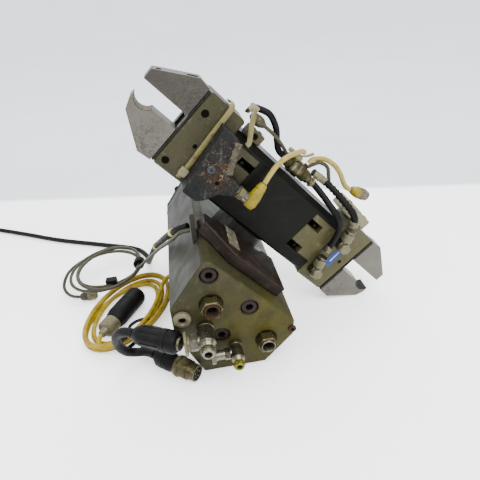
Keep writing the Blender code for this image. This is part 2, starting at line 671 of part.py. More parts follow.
def free_cords():
    """The cords that lie on the table, each with its coil and the piece at its far end."""
    finish(tube("black_cord", BLACK_ROUTE, BLACK_CORD), BLACK_RUBBER)
    finish(coil("black_cord_coil", *BLACK_COIL), BLACK_RUBBER)
    steps = [(0, 0), (3.8, 0), (4.4, 2), (4.4, 13), (4.0, 14), (4.0, 21), (0, 21)]
    finish(aim(turned("black_cord_connector", steps, 16), *BLACK_END), BLACK_RUBBER)

    finish(tube("grey_cord", GREY_ROUTE, GREY_CORD), GREY_PLASTIC)
    finish(coil("grey_cord_coil", *GREY_COIL, tilt=GREY_TILT), GREY_PLASTIC)
    finish(tube("grey_cord_tail", GREY_TAIL, GREY_CORD), GREY_PLASTIC)
    steps = [(0, 0), (3.2, 0), (4.8, 3), (4.8, 12), (5.0, 12.5), (5.0, 18), (0, 18)]
    finish(aim(turned("grey_cord_plug", steps, 16), *GREY_END), GREY_PLASTIC)

    finish(tube("yellow_cord", YELLOW_ROUTE, YELLOW_CORD), YELLOW_PLASTIC)
    finish(coil("yellow_cord_coil", *YELLOW_COIL), YELLOW_PLASTIC)
    steps = [(0, 0), (3.0, 0), (4.0, 6), (8.6, 8), (8.6, 20), (9.2, 21), (10.4, 26), (10.4, 60), (8.0, 64),
             (0, 64)]
    finish(aim(turned("yellow_cord_connector", steps, 20), *YELLOW_END), BLACK_RUBBER)

    finish(tube("short_cord", SHORT_ROUTE, SHORT_CORD, per_point=1.25), BLACK_RUBBER)
    steps = [(0, 0), (4.6, 0), (8.0, 6), (8.0, 20), (6.5, 22), (6.5, 24), (9.3, 25), (9.3, 38), (7.2, 38),
             (7.2, 45), (0, 45)]
    finish(aim(turned("short_cord_connector", steps, 20), *SHORT_END), BLACK_RUBBER)


def main():
    clear_scene()
    slope = slope_empty("slope")
    swivel = slope_empty("swivel_axis")
    housing_part(slope)
    port_face_parts()
    base_side_parts(slope)
    swivel_drive(slope)
    carrier_parts(swivel)
    bracket_part(swivel)
    dress_parts(swivel)
    for number, side in ((1, -1), (2, 1)):
        gripper_parts(swivel, number, side)
    free_cords()


main()
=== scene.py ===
"""Looks of the twin gripper swivel head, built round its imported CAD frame.

Lengths are in millimetres, and MM turns them into metres. Slope coordinates are those of the CAD:
u down the slope from its top edge, w off the slope and n back from the port face.
"""
import json
import math

import bmesh
import bpy
from mathutils import Matrix, Vector

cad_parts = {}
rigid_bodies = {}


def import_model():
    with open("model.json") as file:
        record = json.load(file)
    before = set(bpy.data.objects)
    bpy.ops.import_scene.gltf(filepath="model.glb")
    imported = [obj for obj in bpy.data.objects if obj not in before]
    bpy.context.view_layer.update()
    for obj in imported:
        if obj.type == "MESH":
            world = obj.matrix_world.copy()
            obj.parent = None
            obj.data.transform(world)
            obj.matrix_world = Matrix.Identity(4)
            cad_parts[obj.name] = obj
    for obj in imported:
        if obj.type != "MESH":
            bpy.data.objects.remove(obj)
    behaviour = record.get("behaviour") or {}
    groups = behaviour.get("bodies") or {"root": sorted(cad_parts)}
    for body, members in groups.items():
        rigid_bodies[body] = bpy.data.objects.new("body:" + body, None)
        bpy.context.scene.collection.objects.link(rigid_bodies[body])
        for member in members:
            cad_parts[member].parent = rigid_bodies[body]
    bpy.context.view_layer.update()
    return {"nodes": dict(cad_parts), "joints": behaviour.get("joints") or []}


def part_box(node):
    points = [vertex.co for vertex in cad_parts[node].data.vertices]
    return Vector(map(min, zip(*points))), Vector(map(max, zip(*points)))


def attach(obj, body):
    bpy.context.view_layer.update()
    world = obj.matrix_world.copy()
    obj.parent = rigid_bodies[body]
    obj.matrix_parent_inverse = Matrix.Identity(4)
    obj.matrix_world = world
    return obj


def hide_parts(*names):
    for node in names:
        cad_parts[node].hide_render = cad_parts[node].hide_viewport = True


for left_over in list(bpy.data.objects):
    bpy.data.objects.remove(left_over, do_unlink=True)
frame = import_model()

MM = 0.001
SWIVEL_JOINT = next(joint for joint in frame["joints"] if joint["name"] == "swivel_turn")
PIVOT = Vector(SWIVEL_JOINT["pos_m"]) / MM
OFF_SLOPE = Vector(SWIVEL_JOINT["axis"])
DOWN_SLOPE = Vector((OFF_SLOPE.z, 0, -OFF_SLOPE.x))
BACK = Vector((0, 1, 0))
OUT = -BACK
PIVOT_U = 38.7
PIVOT_N = 85.0
FRONT = -94.0
REAR = 94.0
FAR_EDGE = 268.0
FAR_EDGE_SLANT = -0.2244
FAR_EDGE_BLUR = 6.0
SHARP_FROM = math.radians(35)
KNURL_DEPTH = 0.45
CAP_RIM = 0.4
CURVE_STEPS = 12
HOOP_STEPS = 32
BEVEL_SAMPLES = 6
CLOUD_LOW = 0.25
CLOUD_HIGH = 0.75


def on_slope(u, w, n):
    """Slope coordinates as a point in the row frame, in millimetres."""
    return PIVOT + DOWN_SLOPE * (u - PIVOT_U) + OFF_SLOPE * w + BACK * (n - PIVOT_N)


def turning(first, last, steps):
    """Evenly spaced angles from the first to the last."""
    return [first + (last - first) * step / steps for step in range(steps + 1)]


def circle(count):
    """Angles evenly spaced all round."""
    return [math.tau * step / count for step in range(count)]


# --- Camera -----------------------------------------------------------------------------------------

def make_camera():
    """Stands the camera before the port face and tilts it down. Its place is in metres."""
    turn, pitch, roll = (math.radians(angle) for angle in (7.1, 31.39, 4.41))
    ahead = Vector((
        math.sin(turn) * math.cos(pitch), math.cos(turn) * math.cos(pitch), -math.sin(pitch)))
    level = ahead.cross(Vector((0, 0, 1))).normalized()
    over = level.cross(ahead)
    right = math.cos(roll) * level - math.sin(roll) * over
    up = math.sin(roll) * level + math.cos(roll) * over
    lens = bpy.data.cameras.new("camera")
    lens.sensor_width = 36.0
    lens.lens = 30.76
    camera = bpy.data.objects.new("camera", lens)
    aim = Matrix((right, up, -ahead)).transposed().to_4x4()
    camera.matrix_world = Matrix.Translation((-0.0183, -0.3393, 0.2768)) @ aim
    bpy.context.scene.collection.objects.link(camera)
    bpy.context.scene.camera = camera


make_camera()


# --- Materials --------------------------------------------------------------------------------------

def tint(code):
    """A colour written as sRGB hex digits, in linear values."""
    parts = [int(code[at:at + 2], 16) / 255 for at in (0, 2, 4)]
    linear = [part / 12.92 if part <= 0.04045 else ((part + 0.055) / 1.055) ** 2.4 for part in parts]
    return [*linear, 1.0]


class Look:
    """One procedural material. Its patterns are laid out in millimetres on the piece at rest."""

    def __init__(self, name, roughness, metallic=0.0, rounding=0.0, gloss=0.25):
        self.material = bpy.data.materials.new(name)
        self.material.use_nodes = True
        self.tree = self.material.node_tree
        self.shader = self.tree.nodes["Principled BSDF"]
        self.shader.inputs["Roughness"].default_value = roughness
        self.shader.inputs["Metallic"].default_value = metallic
        self.shader.inputs["Specular IOR Level"].default_value = gloss
        place = self.node("ShaderNodeTexCoord").outputs["Object"]
        scaled = self.node("ShaderNodeVectorMath", {0: place, 1: (1 / MM,) * 3}, operation="MULTIPLY")
        self.place = scaled.outputs[0]
        self.normal = None
        self.colour = None
        if rounding:
            self.normal = self.rounded(rounding)

    def node(self, kind, inputs=None, **settings):
        made = self.tree.nodes.new(kind)
        for key, value in settings.items():
            setattr(made, key, value)
        for key, value in (inputs or {}).items():
            self.feed(made.inputs[key], value)
        return made

    def rounded(self, radius):
        """The normal as it would be if the edges had this radius."""
        made = self.node("ShaderNodeBevel", {"Radius": radius * MM}, samples=BEVEL_SAMPLES)
        return made.outputs["Normal"]

    def feed(self, socket, value):
        if isinstance(value, bpy.types.NodeSocket):
            self.tree.links.new(value, socket)
        else:
            socket.default_value = value

    def clouds(self, size, detail, stretch=(1, 1, 1), wobble=0.0, shift=0.0):
        """Noise from about 0.25 to 0.75, with blobs of about this size in millimetres."""
        scale = [1 / (size * share) for share in stretch]
        inputs = {"Vector": self.place, "Scale": scale, "Location": (shift,) * 3}
        moved = self.node("ShaderNodeMapping", inputs).outputs[0]
        inputs = {"Vector": moved, "Scale": 1.0, "Detail": detail, "Distortion": wobble}
        return self.node("ShaderNodeTexNoise", inputs).outputs["Fac"]

    def window(self, value, low, high):
        """Runs from 0 where value is low to 1 where it is high."""
        inputs = {"Value": value, "From Min": low, "From Max": high}
        return self.node("ShaderNodeMapRange", inputs).outputs["Result"]

    def maths(self, operation, first, second):
        return self.node("ShaderNodeMath", {0: first, 1: second}, operation=operation).outputs[0]

    def mixed(self, share, first, second):
        made = self.node("ShaderNodeMix", {0: share, 6: first, 7: second}, data_type="RGBA")
        return made.outputs[2]

    def along(self, axis):
        return self.node("ShaderNodeSeparateXYZ", {0: self.place}).outputs[axis]

    def near(self, place, full, none, wobble=0.0):
        """1 within the distance full of a place and 0 beyond none, with a ragged border if it wobbles."""
        apart = self.node("ShaderNodeVectorMath", {0: self.place, 1: tuple(place)}, operation="DISTANCE")
        distance = apart.outputs["Value"]
        if wobble:
            ragged = self.maths("MULTIPLY", self.clouds(4.0, 5, shift=9.0), wobble)
            distance = self.maths("ADD", distance, ragged)
        return self.window(distance, none, full)

    def edges(self, radius, reach):
        """1 near sharp edges and 0 on flat faces."""
        rounded = self.rounded(radius)
        normals = {0: rounded, 1: self.node("ShaderNodeNewGeometry").outputs["Normal"]}
        same = self.node("ShaderNodeVectorMath", normals, operation="DOT_PRODUCT")
        return self.window(same.outputs["Value"], 0.98, 1 - reach)

    def paint(self, share, code, strength=1.0):
        """Lays a colour over what is there, where share is 1."""
        if self.colour is None:
            self.colour = tint(code)
            return
        share = self.maths("MULTIPLY", share, strength)
        self.colour = self.mixed(share, self.colour, tint(code))

    def patches(self, low, high, code, strength, *cloud, **shape):
        """Paints cloudy patches of one colour."""
        self.paint(self.window(self.clouds(*cloud, **shape), low, high), code, strength)

    def speckle(self, dark, light, size, strength):
        """Fine dirt and pale rubbed spots over the colour."""
        self.patches(0.52, 0.72, dark, strength, size, 4)
        self.patches(0.6, 0.72, light, strength, size * 2.3, 5, shift=7.0)

    def edge_wear_and_sheen(self, radius, reach, cloud, low, high, code, strength):
        """Paints paler sharp edges, broken up by clouds: rubbed wear, and on the black anodising also a
        painted highlight.
        """
        broken = self.window(self.clouds(*cloud), low, high)
        self.paint(self.maths("MULTIPLY", self.edges(radius, reach), broken), code, strength)

    def bump(self, height, strength, distance=0.3):
        inputs = {"Height": height, "Strength": strength, "Distance": distance * MM}
        if self.normal is not None:
            inputs["Normal"] = self.normal
        self.normal = self.node("ShaderNodeBump", inputs).outputs["Normal"]

    def rough(self, cloud, low, high):
        """Lets the roughness drift from low to high."""
        inputs = {"Value": cloud, "From Min": CLOUD_LOW, "From Max": CLOUD_HIGH, "To Min": low,
                  "To Max": high}
        drift = self.node("ShaderNodeMapRange", inputs)
        self.feed(self.shader.inputs["Roughness"], drift.outputs["Result"])

    def done(self):
        self.feed(self.shader.inputs["Base Color"], self.colour)
        if self.normal is not None:
            self.feed(self.shader.inputs["Normal"], self.normal)
        return self.material


def olive_look(name, main, second, warm, dark, light):
    look = Look(name, 0.45, 0.1, rounding=0.5, gloss=0.2)
    look.paint(1, main)
    look.patches(0.42, 0.66, second, 0.75, 34, 4, wobble=0.6)
    look.patches(0.45, 0.7, warm, 0.5, 46, 3, shift=3.0)
    look.speckle(dark, light, 2.4, 0.34)
    look.patches(0.6, 0.74, dark, 0.7, 16, 5, wobble=1.2, shift=11.0)
    look.edge_wear_and_sheen(0.9, 0.25, (5, 4), 0.4, 0.6, light, 0.7)
    look.rough(look.clouds(9, 4), 0.38, 0.58)
    look.bump(look.clouds(0.5, 2), 0.12, 0.1)
    return look.done()


def housing_look():
    look = Look("olive_base", 0.5, 0.05, rounding=0.6, gloss=0.1)
    look.paint(1, "312e1b")
    look.paint(look.window(look.along("X"), -30, 30), "363211", 0.8)
    look.paint(look.window(look.along("Z"), 70, 108), "302f1f", 0.7)
    # Every face off the port face gets a greyer olive, partly its own tone and partly painted shade, as
    # those faces are turned from the light.
    side = look.window(look.along("Y"), -93.4, -92.4)
    look.paint(side, "2b2b1c")
    # Left of x = -19 those faces are painted darker still, as painted shade.
    left = look.window(look.along("X"), -15, -19)
    look.paint(look.maths("MULTIPLY", side, left), "1f1f16")
    look.paint(look.near((30, FRONT, 44), 8, 62, 18), "383307", 0.85)
    look.paint(look.near((-35, FRONT, 96), 6, 34, 10), "1f1f16", 0.6)
    look.patches(0.45, 0.66, "232110", 0.6, 24, 5, wobble=1.0)
    look.speckle("191707", "444329", 2.6, 0.42)
    streaks = look.clouds(6, 4, stretch=(1, 6, 1), shift=4.0)
    look.paint(look.window(streaks, 0.6, 0.75), "202015", 0.5)
    look.edge_wear_and_sheen(1.0, 0.22, (7, 4), 0.36, 0.6, "4a4936", 0.75)
    look.rough(look.clouds(12, 4), 0.36, 0.55)
    look.bump(look.clouds(0.5, 2), 0.12, 0.1)
    return look.done()


def black_anodised_look():
    look = Look("black_anodised", 0.5, 0.1, rounding=0.7, gloss=0.07)
    look.paint(1, "0b0b08")
    look.patches(0.42, 0.68, "11110d", 0.8, 40, 4, wobble=0.5)
    look.patches(0.62, 0.74, "191813", 0.5, 11, 5, stretch=(4, 4, 0.6), wobble=0.4)
    scratches = look.clouds(1.0, 2, stretch=(26, 3, 1.2), wobble=0.2, shift=2.0)
    look.paint(look.window(scratches, 0.69, 0.74), "2c2c27", 0.4)
    # Paler edges: partly rubbed wear, partly a painted highlight along them.
    look.edge_wear_and_sheen(1.2, 0.25, (6, 5), 0.4, 0.58, "2f2f29", 0.8)
    look.rough(look.clouds(14, 4), 0.3, 0.5)
    look.bump(look.clouds(0.6, 2), 0.1, 0.1)
    return look.done()


def aluminium_look(name, main, stain, shift, root):
    look = Look(name, 0.45, 0.3, rounding=0.4)
    look.paint(1, main)
    look.patches(0.42, 0.7, stain, 0.6, 22, 4, wobble=0.6, shift=shift)
    brushed = look.clouds(0.7, 2, stretch=(12, 1, 1), shift=shift)
    look.paint(look.window(brushed, 0.5, 0.75), "5d5d56", 0.12)
    smudged = look.near(root, 6, 34, 10)
    grain = look.window(look.clouds(2.6, 6, wobble=1.1, shift=shift), 0.46, 0.6)
    look.paint(look.maths("MULTIPLY", smudged, grain), "1d1c19", 0.6)
    look.patches(0.7, 0.8, "302c27", 0.35, 8, 6, wobble=1.4, shift=shift + 4)
    # Every edge is painted paler: a painted highlight along the edges.
    look.paint(look.edges(0.6, 0.25), "706f68", 0.5)
    look.rough(look.clouds(7, 4), 0.36, 0.55)
    look.bump(brushed, 0.05, 0.05)
    return look.done()


def brown_plate_look():
    look = Look("brown_plate", 0.5, 0.05, rounding=0.6, gloss=0.12)
    look.paint(1, "15100c")
    look.patches(0.42, 0.66, "20140e", 0.9, 20, 5, wobble=1.0)
    look.patches(0.58, 0.72, "2c281f", 0.6, 9, 5, stretch=(1, 2.6, 1), shift=5.0)
    look.patches(0.56, 0.7, "0c0907", 0.7, 30, 4, shift=2.2)
    look.speckle("080605", "3d3528", 1.8, 0.45)
    look.paint(look.maths("MULTIPLY", look.edges(1.0, 0.22), look.clouds(4, 4)), "474136", 0.9)
    look.rough(look.clouds(8, 4), 0.36, 0.62)
    look.bump(look.clouds(1.2, 4), 0.25, 0.15)
    return look.done()


def bracket_look():
    look = Look("rusty_bracket", 0.6, 0.1, rounding=0.5, gloss=0.15)
    look.paint(1, "121313")
    streaks = look.clouds(7, 4, stretch=(0.6, 1, 2.2), wobble=0.7)
    look.paint(look.window(streaks, 0.5, 0.66), "090806", 0.8)
    look.patches(0.57, 0.68, "333534", 0.6, 10, 4, stretch=(0.5, 1, 1.6), wobble=0.8, shift=2.4)
    rusted = look.near(on_slope(-23, 43, 47), 6, 20, 10)
    grain = look.window(look.clouds(7, 5, stretch=(0.6, 1, 1.5), wobble=1.0, shift=3.3), 0.44, 0.58)
    look.paint(look.maths("MULTIPLY", rusted, grain), "2d1a0c", 1.0)
    fine = look.window(look.clouds(6, 5, stretch=(0.5, 1, 1.5), wobble=1.0, shift=5.1), 0.56, 0.66)
    look.paint(look.maths("MULTIPLY", rusted, fine), "4a2a0d", 0.6)
    pale = look.window(look.clouds(3.4, 6, wobble=1.6, shift=8.1), 0.57, 0.66)
    scuffed = look.near(on_slope(-21, 50, 47), 8, 30, 8)
    look.paint(look.maths("MULTIPLY", scuffed, pale), "675c43", 0.9)
    look.patches(0.64, 0.7, "30261a", 0.7, 5, 6, wobble=1.2, shift=6.6)
    look.edge_wear_and_sheen(0.8, 0.2, (3, 4), 0.46, 0.6, "514e43", 0.7)
    look.rough(look.clouds(4, 4), 0.45, 0.8)
    look.bump(look.clouds(1.4, 5, wobble=0.8), 0.45, 0.3)
    return look.done()


def metal_look(name, main, second, dirt, roughness=0.26, metallic=0.9, size=4.0):
    look = Look(name, roughness, metallic)
    look.paint(1, main)
    look.patches(0.44, 0.66, second, 0.8, size, 4, wobble=0.6)
    look.patches(0.57, 0.7, dirt, 0.7, size / 2.5, 5, wobble=1.0, shift=6.0)
    look.rough(look.clouds(size / 2, 4), roughness - 0.08, roughness + 0.2)
    look.bump(look.clouds(0.7, 3), 0.1, 0.1)
    return look.done()


def jacket_look(name, main, second, dirt, roughness=0.42, size=9.0, gloss=0.25):
    look = Look(name, roughness, gloss=gloss)
    look.paint(1, main)
    look.patches(0.42, 0.66, second, 0.8, size, 3, wobble=0.5)
    look.patches(0.56, 0.72, dirt, 0.6, size / 2.6, 5, wobble=1.2, shift=4.0)
    look.rough(look.clouds(size / 2, 3), roughness - 0.08, roughness + 0.16)
    look.bump(look.clouds(0.8, 3), 0.16, 0.12)
    return look.done()


def label_look():
    """A worn paper label: pale, with scuffed dark lines across it that aren't lettering."""
    look = Look("worn_label", 0.6)
    look.paint(1, "575343")
    look.patches(0.47, 0.55, "27231a", 0.9, 1.6, 5, wobble=1.4)
    look.patches(0.55, 0.66, "7a7563", 0.8, 5, 4, shift=2.0)
    look.bump(look.clouds(1.0, 4), 0.25, 0.15)
    return look.done()


def floor_look():
    """Pale table, a shade darker past its far edge. A faint glow evens out its shading."""
    look = Look("floor", 0.6, gloss=0.1)
    look.paint(1, "f6f6f5")
    slant = look.maths("MULTIPLY", look.along("X"), FAR_EDGE_SLANT)
    over = look.maths("SUBTRACT", look.along("Y"), slant)
    far = look.window(over, FAR_EDGE - FAR_EDGE_BLUR, FAR_EDGE + FAR_EDGE_BLUR)
    look.paint(far, "7a7d82")
    look.patches(0.4, 0.8, "c9cbd0", 0.15, 260, 3)
    look.feed(look.shader.inputs["Emission Color"], look.mixed(far, tint("f0f1f4"), tint("eef1f6")))
    glow = look.node("ShaderNodeMapRange", {"Value": far, "To Min": 0.78, "To Max": 1.74})
    look.feed(look.shader.inputs["Emission Strength"], glow.outputs["Result"])
    return look.done()


# The arguments of metal_look: name, three colours, then roughness, metallic and size.
METALS = {
    "dark_steel": ("dark_steel", "1d1c1a", "272522", "0d0d0a", 0.42, 0.7, 9.0),
    "nickel": ("nickel", "5c5849", "403d2e", "1d1911", 0.28, 0.9),
    "bright": ("bright_nickel", "706c5f", "575345", "322e25", 0.26, 0.9),
    "cream_metal": ("cream_metal", "5d5945", "504b35", "302b1a", 0.42, 0.35),
    "brass": ("olive_brass", "403a25", "4c462b", "1b170e", 0.34, 0.7),
    "rust": ("rust", "26150e", "331f12", "0a0603", 0.65, 0.3),
    "dark_screw": ("dark_screw", "191311", "271e19", "080504", 0.4, 0.6),
    "clamp": ("clamp_block", "1a1610", "221c13", "0a0806", 0.5, 0.1, 6.0),
    "blue_steel": ("blued_screw", "2a2f34", "404545", "110f0e", 0.4, 0.6, 3.0),
    "painted_brass": ("painted_brass", "5e5a0d", "474224", "1e1c12", 0.35, 0.6, 3.0),
    "notch": ("notch_liner", "3d3417", "2e2611", "1a1408", 0.5, 0.4),
    "scraped": ("scraped_edge", "403a2d", "231d15", "5e5745", 0.6, 0.1, 4.0),
}
# The arguments of jacket_look: name, three colours, then roughness, size and gloss.
JACKETS = {
    "rubber": ("black_rubber", "060606", "0a0a09", "13120f", 0.5, 14.0, 0.12),
    "black_plastic": ("black_plastic", "050505", "0a0a09", "141410", 0.5, 12.0, 0.1),
    "yellow": ("yellow_jacket", "857007", "6e580e", "3a3013", 0.42, 9.0, 0.2),
    "pale_yellow": ("pale_yellow_jacket", "8d7e40", "806e23", "51421e", 0.42, 12.0),
    "moulded_yellow": ("moulded_yellow", "7a6a09", "635610", "3a3417", 0.4, 14.0),
    "olive_jacket": ("olive_jacket", "2d2c1d", "3b3729", "1a170d", 0.45, 8.0, 0.2),
    "cream": ("cream_plastic", "726e55", "635e45", "3a3522", 0.45, 18.0, 0.2),
    "tie": ("cream_tie", "67613a", "585232", "363119", 0.4, 16.0),
    "bronze": ("bronze_block", "2e2713", "3c341a", "141108", 0.42, 9.0),
    "tape": ("yellow_tape", "aca524", "9c931d", "716a20", 0.45, 8.0),
    "blue": ("blue_label", "103069", "17376d", "0c2450", 0.35, 10.0),
    "white_mark": ("white_mark", "99a1b5", "8792ab", "687997", 0.4, 4.0),
    # Near black, laid on as painted shade in holes, sockets, bores, pockets, slots and gaps.
    "hole": ("painted_recess_shade", "030302", "050403", "080705", 0.8, 5.0, 0.05),
}
LOOKS = {
    "housing": housing_look(),
    "olive": olive_look("olive_anodised", "3c3920", "45432c", "403c1e", "211e11", "5d5b4a"),
    "dark_olive": olive_look("dark_olive_anodised", "2b2917", "332f1d", "2d2914", "131008", "4a4839"),
    "black": black_anodised_look(),
    "aluminium": aluminium_look("bare_aluminium", "54514a", "444039", 1.0, on_slope(-78, 22, 66)),
    "dull_aluminium": aluminium_look("dull_aluminium", "383530", "2a2723", 5.0, on_slope(-72, 66, 66)),
    "aluminium_2": aluminium_look("bare_aluminium_2", "59564f", "46423b", 3.0, on_slope(150, 18, 66)),
    "brown": brown_plate_look(),
    "bracket": bracket_look(),
    "label": label_look(),
    "dark_cover": black_anodised_look(),
}
LOOKS.update((key, metal_look(*settings)) for key, settings in METALS.items())
LOOKS.update((key, jacket_look(*settings)) for key, settings in JACKETS.items())


# --- Shapes -----------------------------------------------------------------------------------------

def smooth_route(points, spacing):
    """Evenly spaced points on a smooth curve through the given points."""
    knots = [Vector(p) for p in points]
    padded = [2 * knots[0] - knots[1], *knots, 2 * knots[-1] - knots[-2]]
    fine = []
    for p0, p1, p2, p3 in zip(padded, padded[1:], padded[2:], padded[3:]):
        for step in range(CURVE_STEPS):
            t = step / CURVE_STEPS
            bend = (2 * p0 - 5 * p1 + 4 * p2 - p3) * t**2 + (3 * p1 - p0 - 3 * p2 + p3) * t**3
            fine.append(0.5 * (2 * p1 + (p2 - p0) * t + bend))
    fine.append(knots[-1])
    lengths = [0.0]
    for before, after in zip(fine, fine[1:]):
        lengths.append(lengths[-1] + (after - before).length)
    count = max(2, round(lengths[-1] / spacing))
    even = []
    position = 0
    for step in range(count + 1):
        target = lengths[-1] * step / count
        while position < len(fine) - 2 and lengths[position + 1] < target:
            position += 1
        span = lengths[position + 1] - lengths[position]
        share = min(max((target - lengths[position]) / span, 0.0), 1.0)
        even.append(fine[position].lerp(fine[position + 1], share))
    return even


class Piece:
    """One mesh piece, built in millimetres in the row frame from turned, swept and extruded solids."""

    def __init__(self, name):
        self.name = name
        self.bm = bmesh.new()
        self.looks = []

    def slot_of(self, look):
        if look not in self.looks:
            self.looks.append(look)
        return self.looks.index(look)

    def face(self, corners, look):
        made = self.bm.faces.new(list(dict.fromkeys(corners)))
        made.material_index = self.slot_of(look)
        made.smooth = True

    def skin(self, rings, look):
        """Joins rings of the same number of points, where a ring may be a single point."""
        for below, above in zip(rings, rings[1:]):
            sides = max(len(below), len(above))
            for step in range(sides):
                after = (step + 1) % sides
                corners = [below[step % len(below)], below[after % len(below)]]
                corners += [above[after % len(above)], above[step % len(above)]]
                self.face(corners, look)

    def turned(self, start, direction, steps, look, sides=24):
        """Turns steps of (height, radius) about a line; a third word, hex or knurl, shapes a step."""
        start = Vector(start)
        axis = Vector(direction).normalized()
        basis = axis.to_track_quat("Z", "Y").to_matrix()
        rings = []
        for height, radius, *kind in [(steps[0][0], 0.0), *steps, (steps[-1][0], 0.0)]:
            if radius == 0:
                rings.append([self.bm.verts.new(start + axis * height)])
                continue
            ring = []
            for step, angle in enumerate(circle(sides)):
                reach = radius
                if kind == ["hex"]:
                    reach *= math.cos(math.pi / 6) / math.cos(angle % (math.pi / 3) - math.pi / 6)
                if kind == ["knurl"] and step % 2:
                    reach -= KNURL_DEPTH
                around = basis @ Vector((reach * math.cos(angle), reach * math.sin(angle), 0))
                ring.append(self.bm.verts.new(start + axis * height + around))
            rings.append(ring)
        self.skin(rings, look)

    def stack(self, start, axis, *parts):
        """Turned parts on one axis, each as (distance along it, look, steps) and maybe its sides."""
        for distance, look, steps, *sides in parts:
            self.turned(Vector(start) + axis * distance, axis, steps, look, *sides)

    def cap(self, place, axis, look, base, side, height, rim, socket, floor):
        """A screw's head with a hexagonal socket that has painted shade, a near-black disc, at its floor.
        """
        head = [(base, side), (height - CAP_RIM, side), (height, rim)]
        head += [(height, socket, "hex"), (floor, socket, "hex")]
        self.turned(place, axis, head, look)
        # Painted shade: a near-black hex at the socket's floor.
        dark = [(floor - 0.1, socket - 0.1, "hex"), (floor + 0.2, socket - 0.2, "hex")]
        self.turned(place, axis, dark, "hole")

    def long_ribs(self, start, axis, count, reach, heights, radius, look):
        """Raised ribs along a turned part, evenly spaced round it."""
        for side in spokes(axis, count):
            self.sweep([start + axis * at + side * reach for at in heights], radius, look, 6)

    def sweep(self, points, radius, look, sides=12, flat=1.0, thin=1.0, up=(0, 0, 1), ribs=None,
              closed=False):
        """A tube along points; flat narrows it along up, thin across it, and ribs(step) scales it."""
        points = [Vector(p) for p in points]
        normal = Vector(up)
        rings = []
        for step, point in enumerate(points):
            if closed:
                before, after = points[step - 1], points[(step + 1) % len(points)]
            else:
                before, after = points[max(step - 1, 0)], points[min(step + 1, len(points) - 1)]
            tangent = (after - before).normalized()
            normal = (normal - tangent * normal.dot(tangent)).normalized()
            other = tangent.cross(normal)
            size = radius * (ribs(step) if ribs else 1.0)
            ring = []
            for corner in range(sides):
                angle = math.tau * (corner + 0.5) / sides
                offset = normal * (flat * math.cos(angle)) + other * (thin * math.sin(angle))
                ring.append(self.bm.verts.new(point + offset * size))
            rings.append(ring)
        if closed:
            rings.append(rings[0])
        else:
            rings = [[self.bm.verts.new(points[0])], *rings, [self.bm.verts.new(points[-1])]]
        self.skin(rings, look)

    def hoop(self, centre, axis, radius, thickness, look, thin=1.0, stretch=1.0):
        """A closed ring of round or flattened section; stretch makes it oval."""
        basis = Vector(axis).normalized().to_track_quat("Z", "Y").to_matrix()
        points = []
        for angle in circle(HOOP_STEPS):
            spot = Vector((radius * math.cos(angle), radius * stretch * math.sin(angle), 0))
            points.append(Vector(centre) + basis @ spot)
        self.sweep(points, thickness, look, 8, thin=thin, up=axis, closed=True)

    def slab(self, corners, depth, look):
        """A flat outline of points in space, drawn out along depth."""
        depth = Vector(depth)
        low = [self.bm.verts.new(Vector(p)) for p in corners]
        high = [self.bm.verts.new(Vector(p) + depth) for p in corners]
        self.face(low[::-1], look)
        self.face(high, look)
        self.skin([low, high], look)

    def block(self, low, high, look, bevel=0.3, place=on_slope):
        """A chamfered block between two corners, in slope coordinates unless place says otherwise."""
        (u0, w0, n0), (u1, w1, n1) = low, high
        rings = []
        for n, trim in ((n0, bevel), (n0 + bevel, 0), (n1 - bevel, 0), (n1, bevel)):
            left, right, near, far = u0 + trim, u1 - trim, w0 + trim, w1 - trim
            ring = [(left + bevel, near), (right - bevel, near), (right, near + bevel),
                    (right, far - bevel), (right - bevel, far), (left + bevel, far),
                    (left, far - bevel), (left, near + bevel)]
            rings.append([self.bm.verts.new(place(u, w, n)) for u, w in ring])
        first, last = ([self.bm.verts.new(place((u0 + u1) / 2, (w0 + w1) / 2, n))] for n in (n0, n1))
        self.skin([first, *rings, last], look)

    def done(self, body, slot, *nodes):
        bmesh.ops.recalc_face_normals(self.bm, faces=self.bm.faces)
        bmesh.ops.scale(self.bm, vec=(MM, MM, MM), verts=self.bm.verts)
        mesh = bpy.data.meshes.new(self.name)
        self.bm.to_mesh(mesh)
        self.bm.free()
        for look in self.looks:
            mesh.materials.append(LOOKS[look])
        mesh.set_sharp_from_angle(angle=SHARP_FROM)
        obj = bpy.data.objects.new(self.name, mesh)
        bpy.context.scene.collection.objects.link(obj)
        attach(obj, body)
        if nodes:
            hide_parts(*nodes)
        return obj


def spokes(axis, count):
    """Directions square to an axis, evenly spaced round it."""
    basis = axis.to_track_quat("Z", "Y")
    return [basis @ Vector((math.cos(angle), math.sin(angle), 0)) for angle in circle(count)]


def oval(count, half, radius, tall):
    """Pairs (along, across) round an oval that is straight for twice half along it."""
    pairs = []
    for angle in circle(count):
        along = math.copysign(half, math.cos(angle)) + radius * math.cos(angle)
        pairs.append((along, tall * math.sin(angle)))
    return pairs


def slope_route(points, spacing):
    """A smooth route through points in slope coordinates."""
    return smooth_route([on_slope(*point) for point in points], spacing)


def threads(start, end, radius, depth=0.5, pitch=1.3):
    """Steps of a threaded stretch for turned()."""
    steps = []
    count = round((end - start) / pitch)
    for turn in range(count):
        steps.append((start + turn * pitch, radius - depth))
        steps.append((start + (turn + 0.5) * pitch, radius))
    steps.append((end, radius - depth))
    return steps


# --- Free cords -------------------------------------------------------------------------------------

